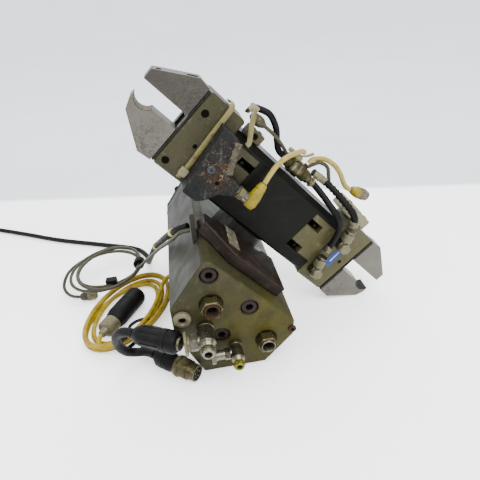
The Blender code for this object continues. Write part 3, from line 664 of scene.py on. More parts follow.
COIL_END = math.tau * 3.5
BLACK_CORD = 6.0
BLACK_ROUTE = (
    (-23.4, -47, 117), (-30, -46.4, 115.5), (-40, -28, 101), (-51, -2, 80), (-60, 20, 61), (-69, 46, 35),
    (-76, 68, 14.5), (-77, 84, 5.6), (-82, 102, 3.3), (-97, 121, 3.2), (-139, 142, 3.2), (-200, 171, 3.2),
    (-250, 200.5, 3.2), (-299, 228.6, 3.2),
)
BLACK_COIL_MIDDLE = Vector((-345.0, 198.9, 3.2))
BLACK_COIL_OUTER = 48.0
BLACK_COIL_START = math.radians(61.6)
BLACK_END = Vector((-356.0, 186.4, 4.8))
GREY_CORD = 3.4
GREY_ROUTE = (
    (-22.1, -54, 117), (-30, -53.3, 115.5), (-41, -38, 99.5), (-53, -13, 79), (-63, 8, 60), (-73, 28, 42),
    (-79.8, 37, 31.5),
)
GREY_TIE = Vector((-84.0, 57.0, 22.0))
GREY_SLANT = 0.08
GREY_COIL_START = math.radians(-16)
# Each loop's half width, half depth and lift.
GREY_LOOPS = ((31, 45, 2.0), (35, 37, -1.5), (33, 48, 1.2), (40, 44, -2.0), (41, 40, -5.0))
GREY_TAIL = (
    (-167, 50, 15.2), (-166.5, 43, 12.4), (-163, 37.5, 8.8), (-157, 34, 6.3), (-150.2, 32.85, 5.4),
)
YELLOW_CORD = 4.6
YELLOW_ROUTE = ((-48.6, 26, 21.3), (-53.5, 25.5, 19.3), (-58.5, 20.5, 17.2), (-61, 12, 15.6))
YELLOW_COIL_MIDDLE = Vector((-97.0, -2.0, 0.0))
YELLOW_COIL_RADII = (53.0, 31.0)
YELLOW_COIL_TURN = math.radians(62)
YELLOW_COIL_START = math.radians(-66.8)
YELLOW_COIL_END = math.radians(197 - 360 * 5)
# How far out each loop lies, and its height.
YELLOW_LOOPS = ((0, 11.5), (4.8, 5.0), (-7.5, 3.4), (-1.5, 4.6), (5.0, 9.6), (2.0, 9.8))
YELLOW_WOBBLE = 2.2
YELLOW_WOBBLY_TURNS = 4.4
YELLOW_ENTRY_HEIGHT = 15.3
YELLOW_LAST_BEND = 11.5
YELLOW_RISE_PER_DEGREE = 0.015
YELLOW_END = Vector((-118.0, -39.5, 10.7))
YELLOW_AHEAD = Vector((0.5, 0.866, 0))
SHORT_CORD = 8.0
SHORT_ROUTE = (
    (-77.6, -87.9, 50.3), (-84.5, -84.2, 49.7), (-91.8, -79.8, 44.3), (-95.5, -75.5, 34), (-95, -71.8, 22),
    (-90, -68.2, 12), (-82, -66, 7.8), (-74.6, -68, 8.4), (-67.8, -73.8, 9.4),
)


def black_route():
    """Out of the clamp, down to the table, away to the left and into a flat spiral coil."""
    points = [Vector(p) for p in BLACK_ROUTE]
    for angle in turning(BLACK_COIL_START, COIL_END, 60):
        radius = BLACK_COIL_OUTER - BLACK_CORD * (angle - BLACK_COIL_START) / math.tau
        points.append(BLACK_COIL_MIDDLE + Vector((math.cos(angle), math.sin(angle), 0)) * radius)
    inner = points[-1]
    across = BLACK_END.x - inner.x
    down = inner.y - BLACK_END.y
    for share in (0.33, 0.66, 1.0):
        angle = share * math.pi / 2
        lift = (BLACK_END.z - inner.z) * share
        points.append(inner + Vector((across * (1 - math.cos(angle)), -down * math.sin(angle), lift)))
    return points


def grey_route():
    """Down beside the black cord and into uneven loops that all meet where they are tied."""
    points = [Vector(p) for p in GREY_ROUTE]
    for angle in turning(GREY_COIL_START, COIL_END, 96):
        across, deep, lift = eased(GREY_LOOPS, (angle - GREY_COIL_START) / math.tau)
        out = across * (math.cos(angle) - 1)
        y = deep * math.sin(angle)
        points.append(GREY_TIE + Vector((out, y, lift - GREY_SLANT * y)))
    points += [Vector(p) for p in GREY_TAIL]
    return points


def eased(loops, at):
    """Each loop's values, turning smoothly into the next loop's between two whole numbers."""
    before, after = loops[int(at)], loops[min(int(at) + 1, len(loops) - 1)]
    share = at - int(at)
    share = share * share * (3 - 2 * share)
    return [a + (b - a) * share for a, b in zip(before, after)]


def yellow_route():
    """From its gland into an oval coil of five uneven turns, and up into its connector."""
    points = [Vector(p) for p in YELLOW_ROUTE]
    for angle in turning(YELLOW_COIL_START, YELLOW_COIL_END, 100):
        at = (YELLOW_COIL_START - angle) / math.tau
        out, height = eased(YELLOW_LOOPS, at)
        out += YELLOW_WOBBLE * math.sin(2 * angle + 2.4 * at) * (1 - at / YELLOW_WOBBLY_TURNS)
        height += max(0.0, YELLOW_ENTRY_HEIGHT - height) * max(0.0, 1 - 6 * at)
        long, short = (radius + out for radius in YELLOW_COIL_RADII)
        spot = Vector((long * math.cos(angle), short * math.sin(angle), 0))
        spot.rotate(Matrix.Rotation(YELLOW_COIL_TURN, 3, "Z"))
        points.append(YELLOW_COIL_MIDDLE + spot + Vector((0, 0, height)))
    left = Vector((-YELLOW_AHEAD.y, YELLOW_AHEAD.x, 0))
    centre = YELLOW_END - left * YELLOW_LAST_BEND
    for degrees in (150, 120):
        angle = math.radians(degrees)
        reach = YELLOW_AHEAD * math.cos(angle) + left * math.sin(angle)
        spot = centre + reach * YELLOW_LAST_BEND
        spot.z = YELLOW_END.z - (degrees - 90) * YELLOW_RISE_PER_DEGREE
        points.append(spot)
    points.append(YELLOW_END)
    return points


def free_cord(name, points, diameter, spacing, look, nodes):
    """A curve of one open spline along the route."""
    route = smooth_route(points, spacing)
    curve = bpy.data.curves.new(name, "CURVE")
    curve.dimensions = "3D"
    curve.bevel_depth = diameter / 2 * MM
    curve.bevel_resolution = 4
    curve.resolution_u = 5
    curve.use_fill_caps = True
    spline = curve.splines.new("BEZIER")
    spline.bezier_points.add(len(route) - 1)
    for point, place in zip(spline.bezier_points, route):
        point.co = place * MM
        point.handle_left_type = "AUTO"
        point.handle_right_type = "AUTO"
    curve.materials.append(LOOKS[look])
    obj = bpy.data.objects.new(name, curve)
    bpy.context.scene.collection.objects.link(obj)
    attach(obj, "base")
    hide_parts(*nodes)
    return obj


def black_cord_pieces():
    cord = free_cord("black_cord_run", black_route(), BLACK_CORD, 13, "rubber",
                     ("black_cord", "black_cord_coil"))
    moulded = [(0.2, 3.0), (1.0, 3.7), (2.0, 4.3), (6.0, 4.4), (6.3, 3.9), (7.0, 3.9), (7.3, 4.4),
               (12.6, 4.4), (13.2, 4.0)]
    nut = [(0, 3.9, "knurl"), (4.4, 3.9, "knurl"), (4.6, 3.4), (7.6, 3.4), (7.6, 2.6), (5.0, 2.6)]
    end = Piece("black_cord_end")
    end.stack(BLACK_END, Vector((1, 0, 0)), (0, "black_plastic", moulded), (13.2, "nickel", nut, 32))
    plug = end.done("base", "black_plastic", "black_cord_connector")


def grey_cord_pieces():
    cord = free_cord("grey_cord_run", grey_route(), GREY_CORD, 7, "olive_jacket",
                     ("grey_cord", "grey_cord_coil", "grey_cord_tail"))
    boot = [(0, 2.0), (0.6, 3.0), (3.0, 4.4), (8.4, 4.6), (9.0, 4.0)]
    grip = [(0, 4.9, "knurl"), (3.4, 4.9, "knurl"), (3.8, 4.2)]
    nut = [(0, 4.5, "hex"), (3.6, 4.5, "hex"), (4.0, 3.4), (5.2, 3.4), (5.2, 2.6), (3.2, 2.6)]
    plug = Piece("grey_cord_end")
    plug.stack((-149.8, 32.8, 5.4), Vector((0.99, -0.1, 0)), (0, "olive_jacket", boot),
               (9, "cream_metal", grip, 32), (12.8, "cream_metal", nut))
    tip = plug.done("base", "grey_plastic", "grey_cord_plug")


def yellow_cord_pieces():
    cord = free_cord("yellow_cord_run", yellow_route(), YELLOW_CORD, 8, "yellow",
                     ("yellow_cord", "yellow_cord_coil"))
    seal = [(0.2, 2.6), (1.2, 3.6), (6.0, 4.4), (8.0, 6.0)]
    thread = [(6.4, 6.4), *threads(7.0, 19.6, 8.6, 0.7, 1.8), (20.6, 7.6)]
    body = [(20.2, 8.4), (21.0, 9.2), (24.0, 9.8), (26.0, 10.4), (44.0, 10.4), (44.4, 9.9), (45.4, 9.9),
            (45.8, 10.4), (58.5, 10.4), (60.5, 10.0), (63.0, 8.6), (64.0, 7.2)]
    end = Piece("yellow_cord_end")
    end.stack(YELLOW_END, YELLOW_AHEAD, (0, "cream_metal", seal), (0, "cream_metal", thread, 32),
              (0, "black_plastic", body, 32))
    connector = end.done("base", "black_plastic", "yellow_cord_connector")


def short_cord_pieces():
    cord = free_cord("short_cord_run", SHORT_ROUTE, SHORT_CORD, 7, "rubber",
                     ("short_cord",))
    start, ahead = Vector((-67.2, -74.3, 9.4)), Vector((0.77, -0.638, 0)).normalized()
    boot = [(0.2, 4.2), (1.5, 5.2), (6.0, 8.0), (12.0, 8.2), (12.6, 7.6), (13.6, 7.6), (14.2, 8.2),
            (20.0, 8.0), (22.0, 6.6), (25.5, 6.6)]
    collar = [(0, 7.4), (0.6, 8.9), (3.4, 9.3), (3.8, 8.7), (4.6, 8.7)]
    nut = [(0, 9.3, "hex"), (7.6, 9.3, "hex"), (8.6, 8.2)]
    thread = [*threads(0, 5.2, 7.3, 0.4), (6.8, 7.2), (8.3, 7.0), (8.4, 5.8), (5.0, 5.6)]
    end = Piece("short_cord_end")
    end.stack(start, ahead, (0, "black_plastic", boot), (24.4, "brass", collar), (28.6, "brass", nut),
              (36.6, "brass", thread), (41.0, "black_plastic", [(0, 5.5), (2.6, 5.5)]))
    pin = [(0, 0.7), (1.6, 0.7), (1.9, 0.4)]
    for side in spokes(ahead, 5):
        end.turned(start + ahead * 43.2 + side * 3.2, ahead, pin, "bright", 8)
    connector = end.done("base", "black_plastic", "short_cord_connector")


black_cord_pieces()
grey_cord_pieces()
yellow_cord_pieces()
short_cord_pieces()


# --- Base -------------------------------------------------------------------------------------------

# Places on the port face are (x, z), and FITTINGS adds a radius.
SCREWS = ((-12.9, 99.0), (15.7, 62.9), (-8.7, 38.8))
FITTINGS = ((-13.9, 72.6, 8.9), (27.8, 27.1, 8.6))
RING_PLUG = (-37.4, 63.3)
CORNER_SCREW = (50.2, 33.5)
ELBOW_1 = (-21.0, 50.3)
ELBOW_2 = (1.4, 26.3)
LEFT = Vector((-1, 0, 0))
REAR_SCREWS = ((-30, 88), (6, 70), (40, 38), (-16, 14), (16, 14), (-43, 60))
FOOT_CORNER = Vector((-26.5, 0, 0))
KNEE_CORNER = Vector((-45.62, 0, 45.74))
GLAND_OUT = Vector((FOOT_CORNER.z - KNEE_CORNER.z, 0, KNEE_CORNER.x - FOOT_CORNER.x)).normalized()


def at_port(x, z, out=0.0):
    """A place on the port face, or this far out from it."""
    return Vector((x, FRONT - out, z))


def port_face_pieces():
    head = [(-8.7, 6.3), (-1.4, 6.5), (-0.7, 5.9), (-0.6, 3.6), (-0.6, 3.3, "hex"), (-4.6, 3.3, "hex")]
    for number, (x, z) in enumerate(SCREWS, start=1):
        screw = Piece(f"socket_screw_{number}")
        screw.turned(at_port(x, z), OUT, head, "dark_screw")
        # A near-black hex of painted shade at the floor of the socket.
        screw.turned(at_port(x, z, -5.2), OUT, [(0.0, 3.2, "hex"), (0.7, 3.0, "hex")], "hole")
        screw.hoop(at_port(x, z), OUT, 7.5, 0.35, "rust")
        screw.done("base", "rusty_steel", f"cap_screw_{number}")
    rim = [(3.8, 6.4), (9.4, 6.4), (10.2, 5.9), (10.2, 5.2), (9.2, 4.7), (5.0, 3.9)]
    for number, (x, z, radius) in enumerate(FITTINGS, start=1):
        body = [(0.3, radius * 0.93), (0.3, radius * 0.9, "hex"), (1.0, radius, "hex"),
                (8.2, radius, "hex"), (9.0, radius * 0.9, "hex"), (9.0, 7.0), (4.0, 6.6)]
        nut = Piece(f"hex_fitting_{number}")
        # The last part is a near-black disc of painted shade deep in the bore.
        nut.stack(at_port(x, z), OUT, (0, "brass", body), (0, "rust" if number == 1 else "nickel", rim),
                  (0, "hole", [(4.8, 3.7), (5.4, 3.5)]))
        # A near-black ring round the foot of the nut: painted shade where it meets the port face.
        nut.hoop(at_port(x, z), OUT, radius + 0.2, 0.4, "hole")
        nut.done("base", "nickel", f"port_fitting_{number}")
    steps = [(0.3, 6.6), (0.8, 7.0), (3.2, 7.0), (4.4, 6.2), (4.8, 5.2), (4.6, 3.6), (3.6, 3.0), (2.0, 2.7)]
    ring = Piece("ring_port")
    # The last part is a near-black disc of painted shade in the bore.
    ring.stack(at_port(*RING_PLUG), OUT, (0, "cream_metal", steps), (0, "hole", [(1.4, 2.6), (2.2, 2.5)]))
    ring.done("base", "nickel", "ring_plug")
    corner = Piece("corner_screw")
    corner.cap(at_port(*CORNER_SCREW), OUT, "rust", 0.0, 3.4, 1.6, 2.9, 1.6, 0.5)
    corner.done("base", "rusty_steel")


def elbow_pieces():
    body = [(0.3, 6.4), (1.0, 7.0), (3.2, 7.0), (3.6, 6.4), (4.6, 6.4), (5.0, 7.0), (19.4, 7.0),
            (20.0, 6.4), (21.0, 5.4)]
    ring = [(0, 5.6), (0.6, 6.0), (2.0, 6.0), (2.6, 5.2)]
    cup = [(0, 5.0), (2.4, 5.0), (3.2, 4.5), (3.2, 3.1), (0.6, 2.8)]
    neck = [(3, 5.6), (7.6, 5.6), (8.0, 6.2)]
    nut = [(6.6, 6.4, "hex"), (7.0, 6.9, "hex"), (12.6, 6.9, "hex"), (13.2, 6.3, "hex")]
    flange = [(13.0, 6.2), (14.6, 6.2), (14.8, 9.2), (15.2, 9.6), (16.6, 9.6), (17.0, 9.1), (17.0, 6.0)]
    place = at_port(*ELBOW_1)
    elbow = Piece("elbow_1")
    # The last part is a near-black disc of painted shade in the mouth of the cup.
    elbow.stack(place, OUT, (0, "nickel", body, 32), (20.4, "bright", threads(0, 4.6, 5.5, 0.5, 1.15)),
                (24.6, "brass", ring), (26.8, "bright", cup), (27.2, "hole", [(0, 2.9), (0.5, 2.7)]))
    elbow.stack(place + OUT * 15, LEFT, (0, "nickel", neck), (0, "bright", nut),
                (0, "cream_metal", flange, 32))
    elbow.done("base", "nickel", "elbow_fitting_1")
    body = [(0.3, 4.8), (0.8, 5.4), (3.0, 5.4), (3.4, 4.9), (4.6, 4.9), (5.0, 5.4), (16.6, 5.4),
            (17.0, 4.8), (18.0, 4.1)]
    ring = [(0, 4.7, "hex"), (0.4, 5.1, "hex"), (2.6, 5.1, "hex"), (3.0, 4.5)]
    cup = [(0, 4.1), (1.2, 4.1), (1.9, 3.6), (1.9, 2.3), (0.3, 2.1)]
    neck = [(2, 4.0), (16.0, 4.0), (16.4, 4.5), (20.0, 4.5), (20.6, 3.8)]
    nut = [(5.2, 4.6, "hex"), (5.5, 5.0, "hex"), (9.5, 5.0, "hex"), (9.8, 4.6, "hex")]
    flange = [(17.4, 6.2), (17.8, 6.7), (20.2, 6.7), (20.6, 6.2), (20.6, 3.5)]
    place = at_port(*ELBOW_2)
    elbow = Piece("elbow_2")
    # The last part is a near-black disc of painted shade in the mouth of the cup.
    elbow.stack(place, OUT, (0, "nickel", body), (17.4, "bright", threads(0, 3.6, 4.3, 0.45, 1.0)),
                (20.4, "painted_brass", ring), (23.2, "painted_brass", cup),
                (23.2, "hole", [(0.1, 2.2), (0.4, 2.0)]))
    elbow.stack(place + OUT * 9, LEFT, (0, "bright", neck), (0, "nickel", nut), (0, "cream_metal", flange))
    elbow.done("base", "nickel", "elbow_fitting_2")


def side_pieces():
    start = Vector((-38.5, -109.0, 50.3))
    line = Vector((-0.88, 0.475, 0)).normalized()
    body = [(4.4, 6.8), (4.8, 7.5), (6.4, 9.0), (7.0, 9.2), (12.0, 9.2), (12.5, 8.6), (13.5, 8.6),
            (14.0, 9.2), (18.0, 9.2), (18.6, 8.6), (36.0, 8.5), (38.0, 8.0), (41.5, 6.2), (43.0, 5.2),
            (43.1, 4.4)]
    coupling = Piece("coupling")
    coupling.stack(start, line, (0, "black_plastic", body, 32), (0, "nickel", [(2.2, 5.6), (4.8, 5.6)]))
    coupling.long_ribs(start, line, 10, 8.3, (19.5, 22, 31, 34.5), 0.8, "black_plastic")
    coupling.done("base", "black_plastic", "hose_coupling")
    low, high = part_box("cable_gland")
    middle = (Vector(low) + Vector(high)) / 2 / MM
    nut = [(0.2, 5.6, "hex"), (0.6, 6.0, "hex"), (4.4, 6.0, "hex"), (4.9, 5.5, "hex"), (5.0, 5.0)]
    cone = [(4.6, 5.0), (5.6, 5.0), (9.6, 4.4), (10.8, 3.6), (10.9, 2.4)]
    gland = Piece("lead_gland")
    gland.stack(middle - GLAND_OUT * 5.6, GLAND_OUT, (0, "black_plastic", nut), (0, "black_plastic", cone))
    gland.done("base", "black_rubber", "cable_gland")
    label = Piece("worn_label")
    corners = [on_slope(u, 10.34, n) for u, n in ((27, 29), (27, 60), (15, 60), (15, 29))]
    label.slab(corners, OFF_SLOPE * 0.25, "label")
    label.done("base", "cream_plastic")
    screws = Piece("rear_cover_screws")
    for x, z in REAR_SCREWS:
        screws.cap((x, REAR, z), BACK, "dark_screw", 0.02, 4.6, 1.4, 4.2, 2.4, 0.5)
    screws.done("base", "dark_steel")


def square(x, y, z):
    """Takes plain coordinates where on_slope takes those of the slope."""
    return Vector((x, y, z))


def cord_dressings():
    """Tape bands on the black cord, and the ties round the coils."""
    black = smooth_route(black_route()[:9], 2.0)
    for number, height in enumerate((106.5, 66.0), start=1):
        at = min(range(len(black)), key=lambda step: abs(black[step].z - height))
        ahead = (black[at + 1] - black[at - 1]).normalized()
        band = Piece(f"tape_band_{number}")
        band.turned(black[at] - ahead * 3, ahead, [(0, 3.1), (0.2, 3.5), (5.4, 3.6), (6.2, 3.1)], "tape")
        band.done("base", "yellow_plastic")
    tie = Piece("grey_coil_tie")
    middle = GREY_TIE + Vector((-0.5, -2, 1.5))
    axis = Vector((0.1, 1, -0.1))
    for along in (-3.2, 0.0, 3.0):
        tie.hoop(middle + axis * along, axis, 4.4, 2.5, "black_plastic", thin=0.7)
    tie.block((-86.0, 49.9, 26.3), (-80.0, 55.3, 30.7), "black_plastic", 0.6, square)
    tie.done("base", "black_plastic")
    knob = Piece("coil_clip")
    knob.block((-116.5, 19.0, 22.5), (-105.5, 27.0, 29.5), "black_plastic", 0.6, square)
    knob.done("base", "black_plastic")
    for number, (x, y, turn) in enumerate(((-93.5, -51.0, 35), (-83.0, -31.0, 20)), start=1):
        tie = Piece(f"yellow_coil_tie_{number}")
        turn = math.radians(turn)
        across = Vector((-math.sin(turn), math.cos(turn), 0))
        tie.hoop((x, y, 7.6), across, 11.0, 2.3, "black_plastic", thin=0.35, stretch=0.6)
        tie.done("base", "black_plastic")


# --- Swivelling carrier -----------------------------------------------------------------------------

HOSE_1 = (
    (-31.5, 95.2, 79), (-26, 98, 78), (-16, 101, 77), (-4, 97, 78), (5, 90, 79.5), (12, 85.3, 80),
    (20.4, 84.6, 80),
)
HOSE_2 = (
    (52.9, 84.6, 80), (60, 84.6, 79.8), (66, 84, 74), (75, 82.5, 65), (88, 79.5, 58), (98, 73, 57),
    (104, 62, 57.5), (107.2, 49.5, 58),
)
HOSE_3 = (
    (53.2, 91.5, 86), (59, 92.2, 84.5), (69, 93.5, 75), (82, 93, 67), (95, 91.5, 60.5), (103, 88.3, 58),
    (107.4, 83, 58),
)
YELLOW_LEAD_1 = (
    (12.9, 60.1, 55.6), (12, 67, 57), (11.5, 76, 59), (14, 85, 63), (20, 92.8, 69), (26, 97.8, 75),
    (31, 98.7, 81),
)
YELLOW_LEAD_2 = (
    (43, 94.6, 84), (44, 100, 84.5), (52, 106.5, 85), (62, 108.8, 83.5), (71, 107.5, 81), (80, 103.6, 79),
    (85, 102.6, 78), (88.8, 103.5, 78),
)
GREY_LEAD = ((-13.9, 92, 71), (-4, 92.2, 70), (8, 90.5, 71), (19.5, 87.5, 75.5))
LEADS = (
    ("sensor_lead_1", YELLOW_LEAD_1, 4.4, "pale_yellow", "yellow_plastic", "yellow_lead_1"),
    ("sensor_lead_2", YELLOW_LEAD_2, 4.4, "pale_yellow", "yellow_plastic", "yellow_lead_2"),
    ("thin_lead", GREY_LEAD, 3.0, "olive_jacket", "grey_plastic", "grey_lead"),
)


def held_tube(name, points, diameter, look, ribs=None):
    """A tube through points in slope coordinates, as a piece that can take more."""
    tube = Piece(name)
    tube.sweep(slope_route(points, diameter * 0.35), diameter / 2, look, 16, ribs=ribs)
    return tube


def corrugated(step):
    """The bellows of the third hose, near its start."""
    return 1.0 + (0.1 if step % 2 else -0.12) * (3 < step < 24)


def banded(step):
    """Raised bands at the ends and the middle of a sleeve."""
    return 1.0 if step in (0, 7, 8, 15) else 0.9


def hose_pieces():
    hose = held_tube("air_hose_1", HOSE_1, 5.4, "rubber")
    hose.done("swivel", "black_rubber", "hose_1")
    hose = held_tube("air_hose_2", HOSE_2, 6.0, "rubber")
    for share, beside in ((0, 1), (-1, -2)):
        end = on_slope(*HOSE_2[share])
        ahead = end - on_slope(*HOSE_2[beside])
        ferrule = [(0, 3.1), (0.5, 3.6), (5.5, 3.6), (6.0, 3.1)]
        hose.turned(end - ahead.normalized() * 6, ahead, ferrule, "nickel")
    hose.hoop(on_slope(56, 84.6, 80), DOWN_SLOPE, 4.0, 0.9, "tie")
    hose.done("swivel", "black_rubber", "hose_2")
    hose = held_tube("air_hose_3", HOSE_3, 6.2, "rubber", corrugated)
    end = on_slope(*HOSE_3[-1])
    ahead = (end - on_slope(*HOSE_3[-2])).normalized()
    hose.turned(end - ahead * 5, ahead, [(0, 3.2), (0.5, 3.9), (5.0, 3.9), (5.4, 3.2)], "cream_metal")
    hose.sweep(slope_route(HOSE_3, 1.0)[1:17], 3.75, "cream", 16, ribs=banded)
    hose.done("swivel", "black_rubber", "hose_3")
    for name, route, diameter, look, slot, node in LEADS:
        held_tube(name, route, diameter, look).done("swivel", slot, node)


def along_line(piece, start, end, *parts):
    """Turned parts between two points in slope coordinates, each as (look, steps) and maybe its sides.

    Their heights are shares of the way.
    """
    first, last = on_slope(*start), on_slope(*end)
    length = (last - first).length
    for look, steps, *sides in parts:
        heights = [(share * length, *rest) for share, *rest in steps]
        piece.turned(first, last - first, heights, look, *sides)


def plug_pieces():
    start, end = (15, 36.5, 52), (13, 59.5, 55.5)
    body = [(0, 3.4), (0.05, 4.4), (0.12, 4.9), (0.4, 5.2), (0.62, 5.0), (0.7, 4.6), (0.72, 4.3),
            (0.76, 4.3), (0.78, 4.5), (0.95, 3.5), (1.0, 2.9)]
    first = on_slope(*start)
    ahead = (on_slope(*end) - first).normalized()
    plug = Piece("moulded_plug_1")
    along_line(plug, start, end, ("moulded_yellow", body))
    plug.long_ribs(first, ahead, 6, 4.75, (3.0, 5.0, 9.0, 12.0), 0.7, "moulded_yellow")
    plug.done("swivel", "yellow_plastic", "lead_plug_1")
    body = [(0, 2.8), (0.06, 3.6), (0.3, 5.0), (0.44, 5.4), (0.5, 5.0)]
    grip = [(0.46, 5.4, "knurl"), (0.78, 5.4, "knurl"), (0.8, 4.6)]
    nut = [(0.78, 4.8, "hex"), (0.82, 5.0, "hex"), (0.94, 5.0, "hex"), (0.96, 4.0), (1.0, 4.0),
           (1.0, 3.0), (0.85, 2.8)]
    plug = Piece("moulded_plug_2")
    along_line(plug, (90, 104, 78), (107, 110, 78), ("moulded_yellow", body), ("cream_metal", grip, 32),
               ("bright", nut))
    plug.done("swivel", "yellow_plastic", "lead_plug_2")
    body = [(0, 2.0), (0.1, 2.8), (0.2, 3.8), (0.28, 4.2), (0.72, 4.2), (0.8, 3.6), (0.95, 2.4), (1, 2.0)]
    band = [(0.42, 4.3), (0.45, 4.5), (0.58, 4.5), (0.61, 4.3)]
    sensor = Piece("inline_joint")
    along_line(sensor, (-29, 91, 71), (-14.5, 92, 71), ("olive_jacket", body), ("brass", band))
    sensor.done("swivel", "grey_plastic", "inline_sensor")
    screw = [(0, 2.2), (0.6, 2.2), (0.9, 1.8), (0.9, 1.0, "hex")]
    block = Piece("proximity_block")
    block.block((-24, 76.8, 67), (-8, 85.5, 80), "bronze", 0.9)
    for u, n in ((-20.5, 70.5), (-11.5, 76.5)):
        block.turned(on_slope(u, 85.3, n), OFF_SLOPE, screw, "dark_screw")
    # A near-black disc of painted shade in the block's hole.
    block.turned(on_slope(-16, 81, 67.1), OUT, [(0, 2.6), (0.5, 2.6), (0.7, 2.0)], "hole")
    block.done("swivel", "cream_plastic", "sensor_block")
    block = Piece("valve_block")
    block.block((92.2, 84.9, 70.2), (109, 96.6, 91.8), "cream", 1.2)
    block.block((109.6, 84.9, 70.8), (127.8, 95.2, 91.2), "cream", 1.2)
    block.block((96, 90, 69.4), (105, 95, 70.6), "tie", 0.4)
    for u, w in ((98, 96.2), (114, 94.8), (122, 94.8)):
        block.turned(on_slope(u, w, 76), OFF_SLOPE, [(0, 2.1), (0.9, 2.1), (1.2, 1.7)], "cream_metal")
    block.done("swivel", "cream_plastic", "white_block")


def distributor_pieces():
    """The fitting cluster that the hoses branch from: a hex body, a gland, a barb and tied leads."""
    hexes = [(0.2, 5.2), (0.6, 6.4, "hex"), (5.6, 6.4, "hex"), (6.0, 5.2), (6.8, 5.2), (7.0, 6.8),
             (7.6, 7.0), (18.4, 7.0), (19.0, 6.4), (19.4, 5.4), (20.4, 5.4), (20.6, 6.6, "hex"),
             (26.0, 6.6, "hex"), (26.4, 5.0), (30.4, 4.6), (30.8, 3.6)]
    wide_ring = [(0, 7.05), (0.3, 7.3), (2.2, 7.3), (2.5, 7.05)]
    narrow_ring = [(0, 7.05), (0.3, 7.3), (1.4, 7.3), (1.7, 7.05)]
    gland = [(3, 4.9), (6.6, 4.9), (6.8, 5.2, "hex"), (9.6, 5.2, "hex"), (10.2, 4.4), (10.4, 3.0),
             (8.6, 2.6)]
    barb = [(0, 3.6), (3.4, 3.6), (3.6, 2.6), (5.0, 3.2), (5.2, 2.6), (6.6, 3.1), (6.8, 2.4), (8.4, 2.6),
            (8.5, 1.6)]
    body = Piece("hose_cluster")
    body.stack(on_slope(21, 84.6, 80), DOWN_SLOPE, (0, "brass", hexes), (8.4, "bright", wide_ring),
               (14.8, "nickel", narrow_ring))
    body.turned(on_slope(28, 84.6, 80), OFF_SLOPE, gland, "brass")
    body.turned(on_slope(43, 84.6, 84), OFF_SLOPE, barb, "nickel")
    body.done("swivel", "nickel", "distributor")
    tail = slope_route(((31, 93, 84), (35, 95.5, 85), (38.5, 99, 85.5), (41, 103.5, 85.5)), 1.5)
    tie = Piece("cluster_tie")
    tie.hoop(on_slope(26, 92.6, 80), OFF_SLOPE, 7.0, 1.9, "tie", thin=0.4)
    tie.sweep(tail, 2.0, "tie", 8, flat=0.35, up=OFF_SLOPE)
    tie.done("swivel", "cream_plastic")
    branch = ((44, 92, 82), (49, 101, 82), (57, 103.5, 81), (64, 99, 80), (70, 94.5, 80))
    strand = Piece("thin_branch")
    strand.sweep(slope_route(branch, 1.0), 1.7, "olive_jacket", 10)
    strand.done("swivel", "grey_plastic")


def banjo_pieces():
    washer = [(0.3, 5.4), (0.8, 5.9), (2.2, 5.9), (2.4, 5.0), (2.8, 5.0)]
    eye = [(2.6, 5.6), (3.2, 6.1), (8.2, 6.1), (8.8, 5.5)]
    bolt = [(8.4, 4.8), (9.2, 4.8), (9.4, 5.4, "hex"), (12.4, 5.4, "hex"), (13.0, 4.6, "hex")]
    neck = [(2, 4.0), (6.4, 4.0), (6.8, 4.6)]
    nut = [(6.2, 4.9), (6.6, 5.2), (13.4, 5.2), (13.8, 4.8)]
    rings = [(13.4, 4.5), (13.8, 4.9), (15.0, 4.9), (15.2, 4.3), (15.8, 4.3), (16.0, 4.9), (17.2, 4.9),
             (17.6, 4.3), (17.9, 3.6)]
    for number, w in ((1, 28.0), (2, 63.0)):
        start = on_slope(117, w, 58.6)
        ahead = (on_slope(108, w + 19, 58) - start).normalized()
        banjo = Piece(f"banjo_{number}")
        banjo.stack(on_slope(117, w, 65), OUT, (0, "dark_steel", washer), (0, "nickel", eye),
                    (0, "cream_metal", bolt))
        banjo.stack(start, ahead, (0, "nickel", neck), (0, "cream_metal", nut, 32), (0, "nickel", rings))
        banjo.done("swivel", "nickel", f"banjo_fitting_{number}")


def bracket_pieces():
    steps = [(0, 3.6), (2.6, 3.6), (2.8, 5.4, "hex"), (7.6, 5.4, "hex"), (8.2, 4.6)]
    grip = [(8.0, 4.8, "knurl"), (13.0, 4.8, "knurl"), (13.6, 4.0)]
    nut = Piece("plug_nut")
    nut.stack(on_slope(-2.4, 41.5, 55), DOWN_SLOPE, (0, "cream_metal", steps), (0, "bright", grip, 32))
    nut.done("swivel", "nickel")
    head = [(0.02, 3.2), (1.6, 3.2), (2.1, 2.7), (2.2, 1.5, "hex"), (1.0, 1.5, "hex")]
    screw = Piece("bracket_screw")
    screw.turned(on_slope(-31, 43, 47), OUT, head, "blue_steel")
    screw.done("swivel", "nickel")
    washer = Piece("bracket_hole_rim")
    # A rust ring, with a near-black disc of painted shade in the hole.
    washer.stack(on_slope(-20, 37.5, 47), OUT, (0, "rust", [(0.02, 2.9), (0.25, 2.8)]),
                 (0, "hole", [(0.02, 1.8), (0.35, 1.7)]))
    washer.done("swivel", "rusty_steel")

    def ragged(step):
        return 1.0 + 0.1 * math.sin(step * 2.3) + 0.13 * math.sin(step * 0.9)

    edge = ((-28.5, 71.5, 46.8), (-25, 63, 46.8), (-21, 55, 46.8), (-17.5, 48.5, 46.8))
    strip = Piece("bracket_seal")
    strip.sweep(slope_route(edge, 0.8), 2.5, "scraped", 10, flat=0.16, up=BACK, ribs=ragged)
    strip.done("swivel", "rusty_steel")


